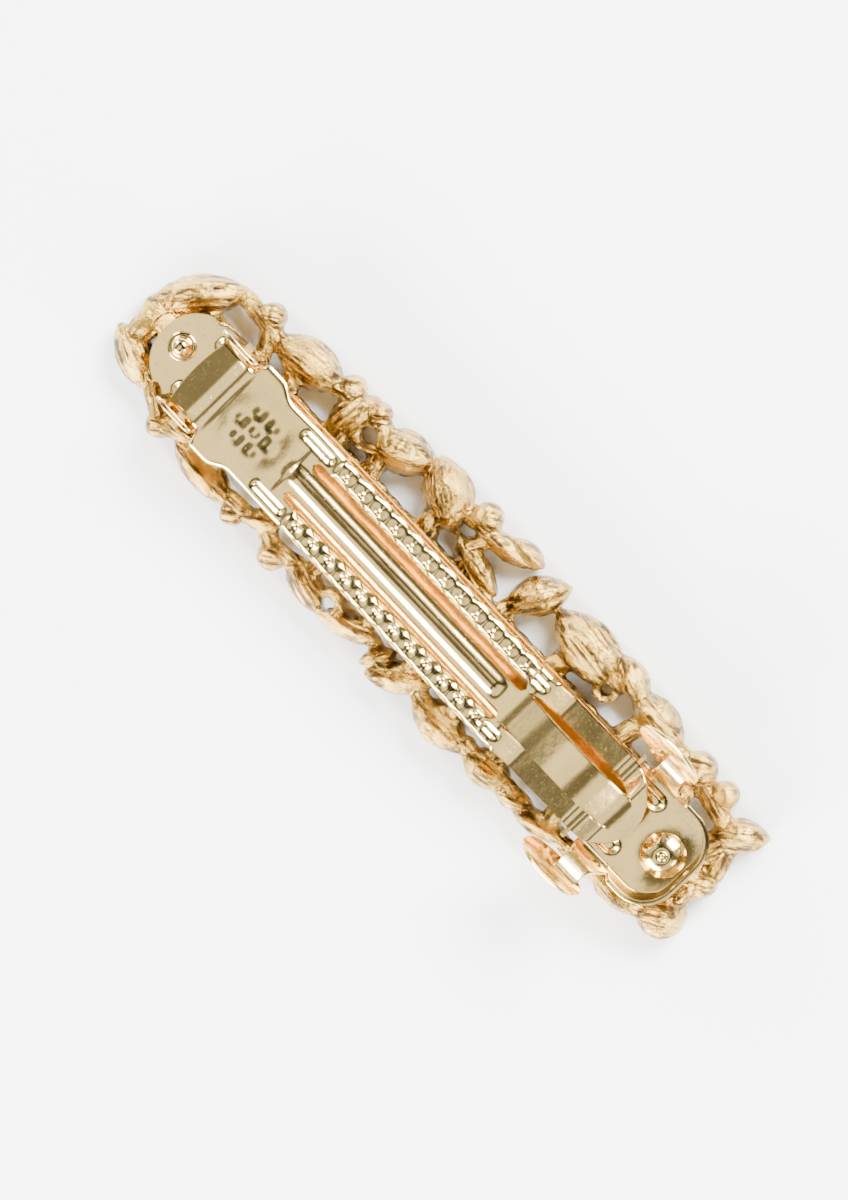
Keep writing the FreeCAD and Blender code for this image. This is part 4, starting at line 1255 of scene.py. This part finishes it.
def brushingPlaces(places):
    # each point's place in the frame of the leaf, bead or stem it is nearest to
    best = np.full(len(places), np.inf)
    local = np.zeros((len(places), 3))
    for number, (x, y, length, width, heading) in enumerate(leafFrames()):
        along, across = turned(places, x, y, heading)
        far = (along / (length / 2)) ** 2 + (across / (width / 2)) ** 2
        closer = far < best
        best[closer] = far[closer]
        height = places[:, 2] + settlePlan["frameGap"] * number
        local[closer] = np.stack([along, across, height], axis=1)[closer]
    return local * mm


def settleCasting(piece):
    mesh = piece.data
    places = vertexVectors(mesh, "co")
    addLumps(places, vertexVectors(mesh, "normal"))
    cutSeats(places)
    places[:, 2] = np.clip(places[:, 2], castPlan["front"], castPlan["top"])
    attribute = mesh.attributes.new("leafPlace", "FLOAT_VECTOR", "POINT")
    attribute.data.foreach_set("vector", brushingPlaces(places).ravel())
    mesh.vertices.foreach_set("co", (places * mm).ravel())
    mesh.update()


def turned(places, x, y, heading):
    turn = math.radians(heading)
    east, north = places[:, 0] - x, places[:, 1] - y
    along = east * math.cos(turn) + north * math.sin(turn)
    across = north * math.cos(turn) - east * math.sin(turn)
    return along, across


def makeCasting(gold):
    piece = joinShapes("castOrnament", castShapes(), [gold])
    addModifier(piece, "REMESH", mode="VOXEL", voxel_size=castPlan["voxel"],
                use_smooth_shade=True)
    applyModifiers(piece)
    punchEyelets(piece)
    settleCasting(piece)
    addModifier(piece, "SMOOTH", factor=0.5, iterations=1)
    applyModifiers(piece)
    piece.data.shade_smooth()
    triangles = sum(len(face.vertices) - 2 for face in piece.data.polygons)
    finishPiece(piece, "ornament", "cast_gold", "ornament_casting")
    note(f"casting, {triangles} triangles")


def punchEyelets(piece):
    # the eyelets' holes are cut right through
    low, high = castPlan["eyeletCut"]
    shapes = [post(x, y, inner, low, high) for x, y, _, inner in castPlan["eyelets"]]
    cutter = joinShapes("eyeletCutter", shapes, [])
    addModifier(piece, "BOOLEAN", operation="DIFFERENCE", object=cutter, solver="EXACT")
    applyModifiers(piece)
    bpy.data.objects.remove(cutter)


# stones

stonePlan = {
    "crown": 0.75,
    "girdle": 0.25,
    "pavilion": 0.8,
    "table": 0.60,
    "star": 0.84,
    "starHeight": 0.42,
    "keel": 0.55,
    "keelHeight": 0.62,
    "sides": 16,
    "pointedFrom": 1.05,
    "pointPower": 1.5,
    "flatAngle": 0.01,
    "foilFacing": 0.05,
}


def makeStone(name, node, glass, foil, x, y, halfLength, halfWidth, heading):
    plan = stonePlan
    pointed = halfLength > halfWidth * plan["pointedFrom"]
    sides = plan["sides"]
    crown, belt = plan["crown"], plan["crown"] + plan["girdle"]
    rings = [
        (sides // 2, 0.5, plan["table"], 0.0),
        (sides // 2, 0.0, plan["star"], crown * plan["starHeight"]),
        (sides, 0.0, 1.0, crown),
        (sides, 0.0, 1.0, belt),
        (sides // 2, 0.5, plan["keel"], belt + plan["pavilion"] * plan["keelHeight"]),
        (1, 0.0, 0.0, belt + plan["pavilion"]),
    ]
    shape = bmesh.new()
    for count, shift, share, height in rings:
        for step in range(count):
            turn = math.tau * (step + shift) / count
            across, side = math.cos(turn), math.sin(turn)
            if pointed:
                side = math.copysign(abs(side) ** plan["pointPower"], side)
            shape.verts.new((across * halfLength * share, side * halfWidth * share, height))
    bmesh.ops.convex_hull(shape, input=shape.verts[:])
    bmesh.ops.dissolve_limit(shape, angle_limit=plan["flatAngle"], verts=shape.verts[:],
                             edges=shape.edges[:])
    placedShape(shape, x, y, heading, 0.0)
    bmesh.ops.scale(shape, verts=shape.verts, vec=(mm, mm, mm))
    bmesh.ops.recalc_face_normals(shape, faces=shape.faces)
    for face in shape.faces:
        face.material_index = 1 if face.normal.z > plan["foilFacing"] else 0
    piece = meshObject(name, shape, [glass, foil], False)
    finishPiece(piece, "ornament", "crystal", node)


def makeStones(glass, foil):
    for kind, stones in (("navette", leafStones()), ("round", beadStones())):
        for number, stone in enumerate(stones, start=1):
            node = f"{kind}_crystal_{number:02d}"
            makeStone(f"{kind}Stone{number:02d}", node, glass, foil, *stone)
    for name in ("pave_crystals_upper", "pave_crystals_lower"):
        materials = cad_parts[name].data.materials
        materials.clear()
        materials.append(foil)
    note("stones")


addCamera(cameraPlan)
addFloor(lightPlan)
addLights(lightPlan)
clipGold = makeClipGold("clipGold", (60.0, 900.0, 900.0))
rivetGold = makeClipGold("rivetGold", (400.0, 400.0, 400.0))
makeArm(clipGold)
makeBase(clipGold)
makeRivet("hingeEndRivet", "hinge_end_rivet", rivetGold)
makeRivet("claspEndRivet", "clasp_end_rivet", rivetGold)
makeWing("leftWing", "release_wing_left", "left_wing", 1, clipGold)
makeWing("rightWing", "release_wing_right", "right_wing", -1, clipGold)
makeCasting(makeCastGold())
gemGlass = makePlain("gemGlass", Transmission_Weight=1.0, IOR=1.62, Roughness=0.0)
makeStones(gemGlass, makePlain("gemFoil", Metallic=1.0))
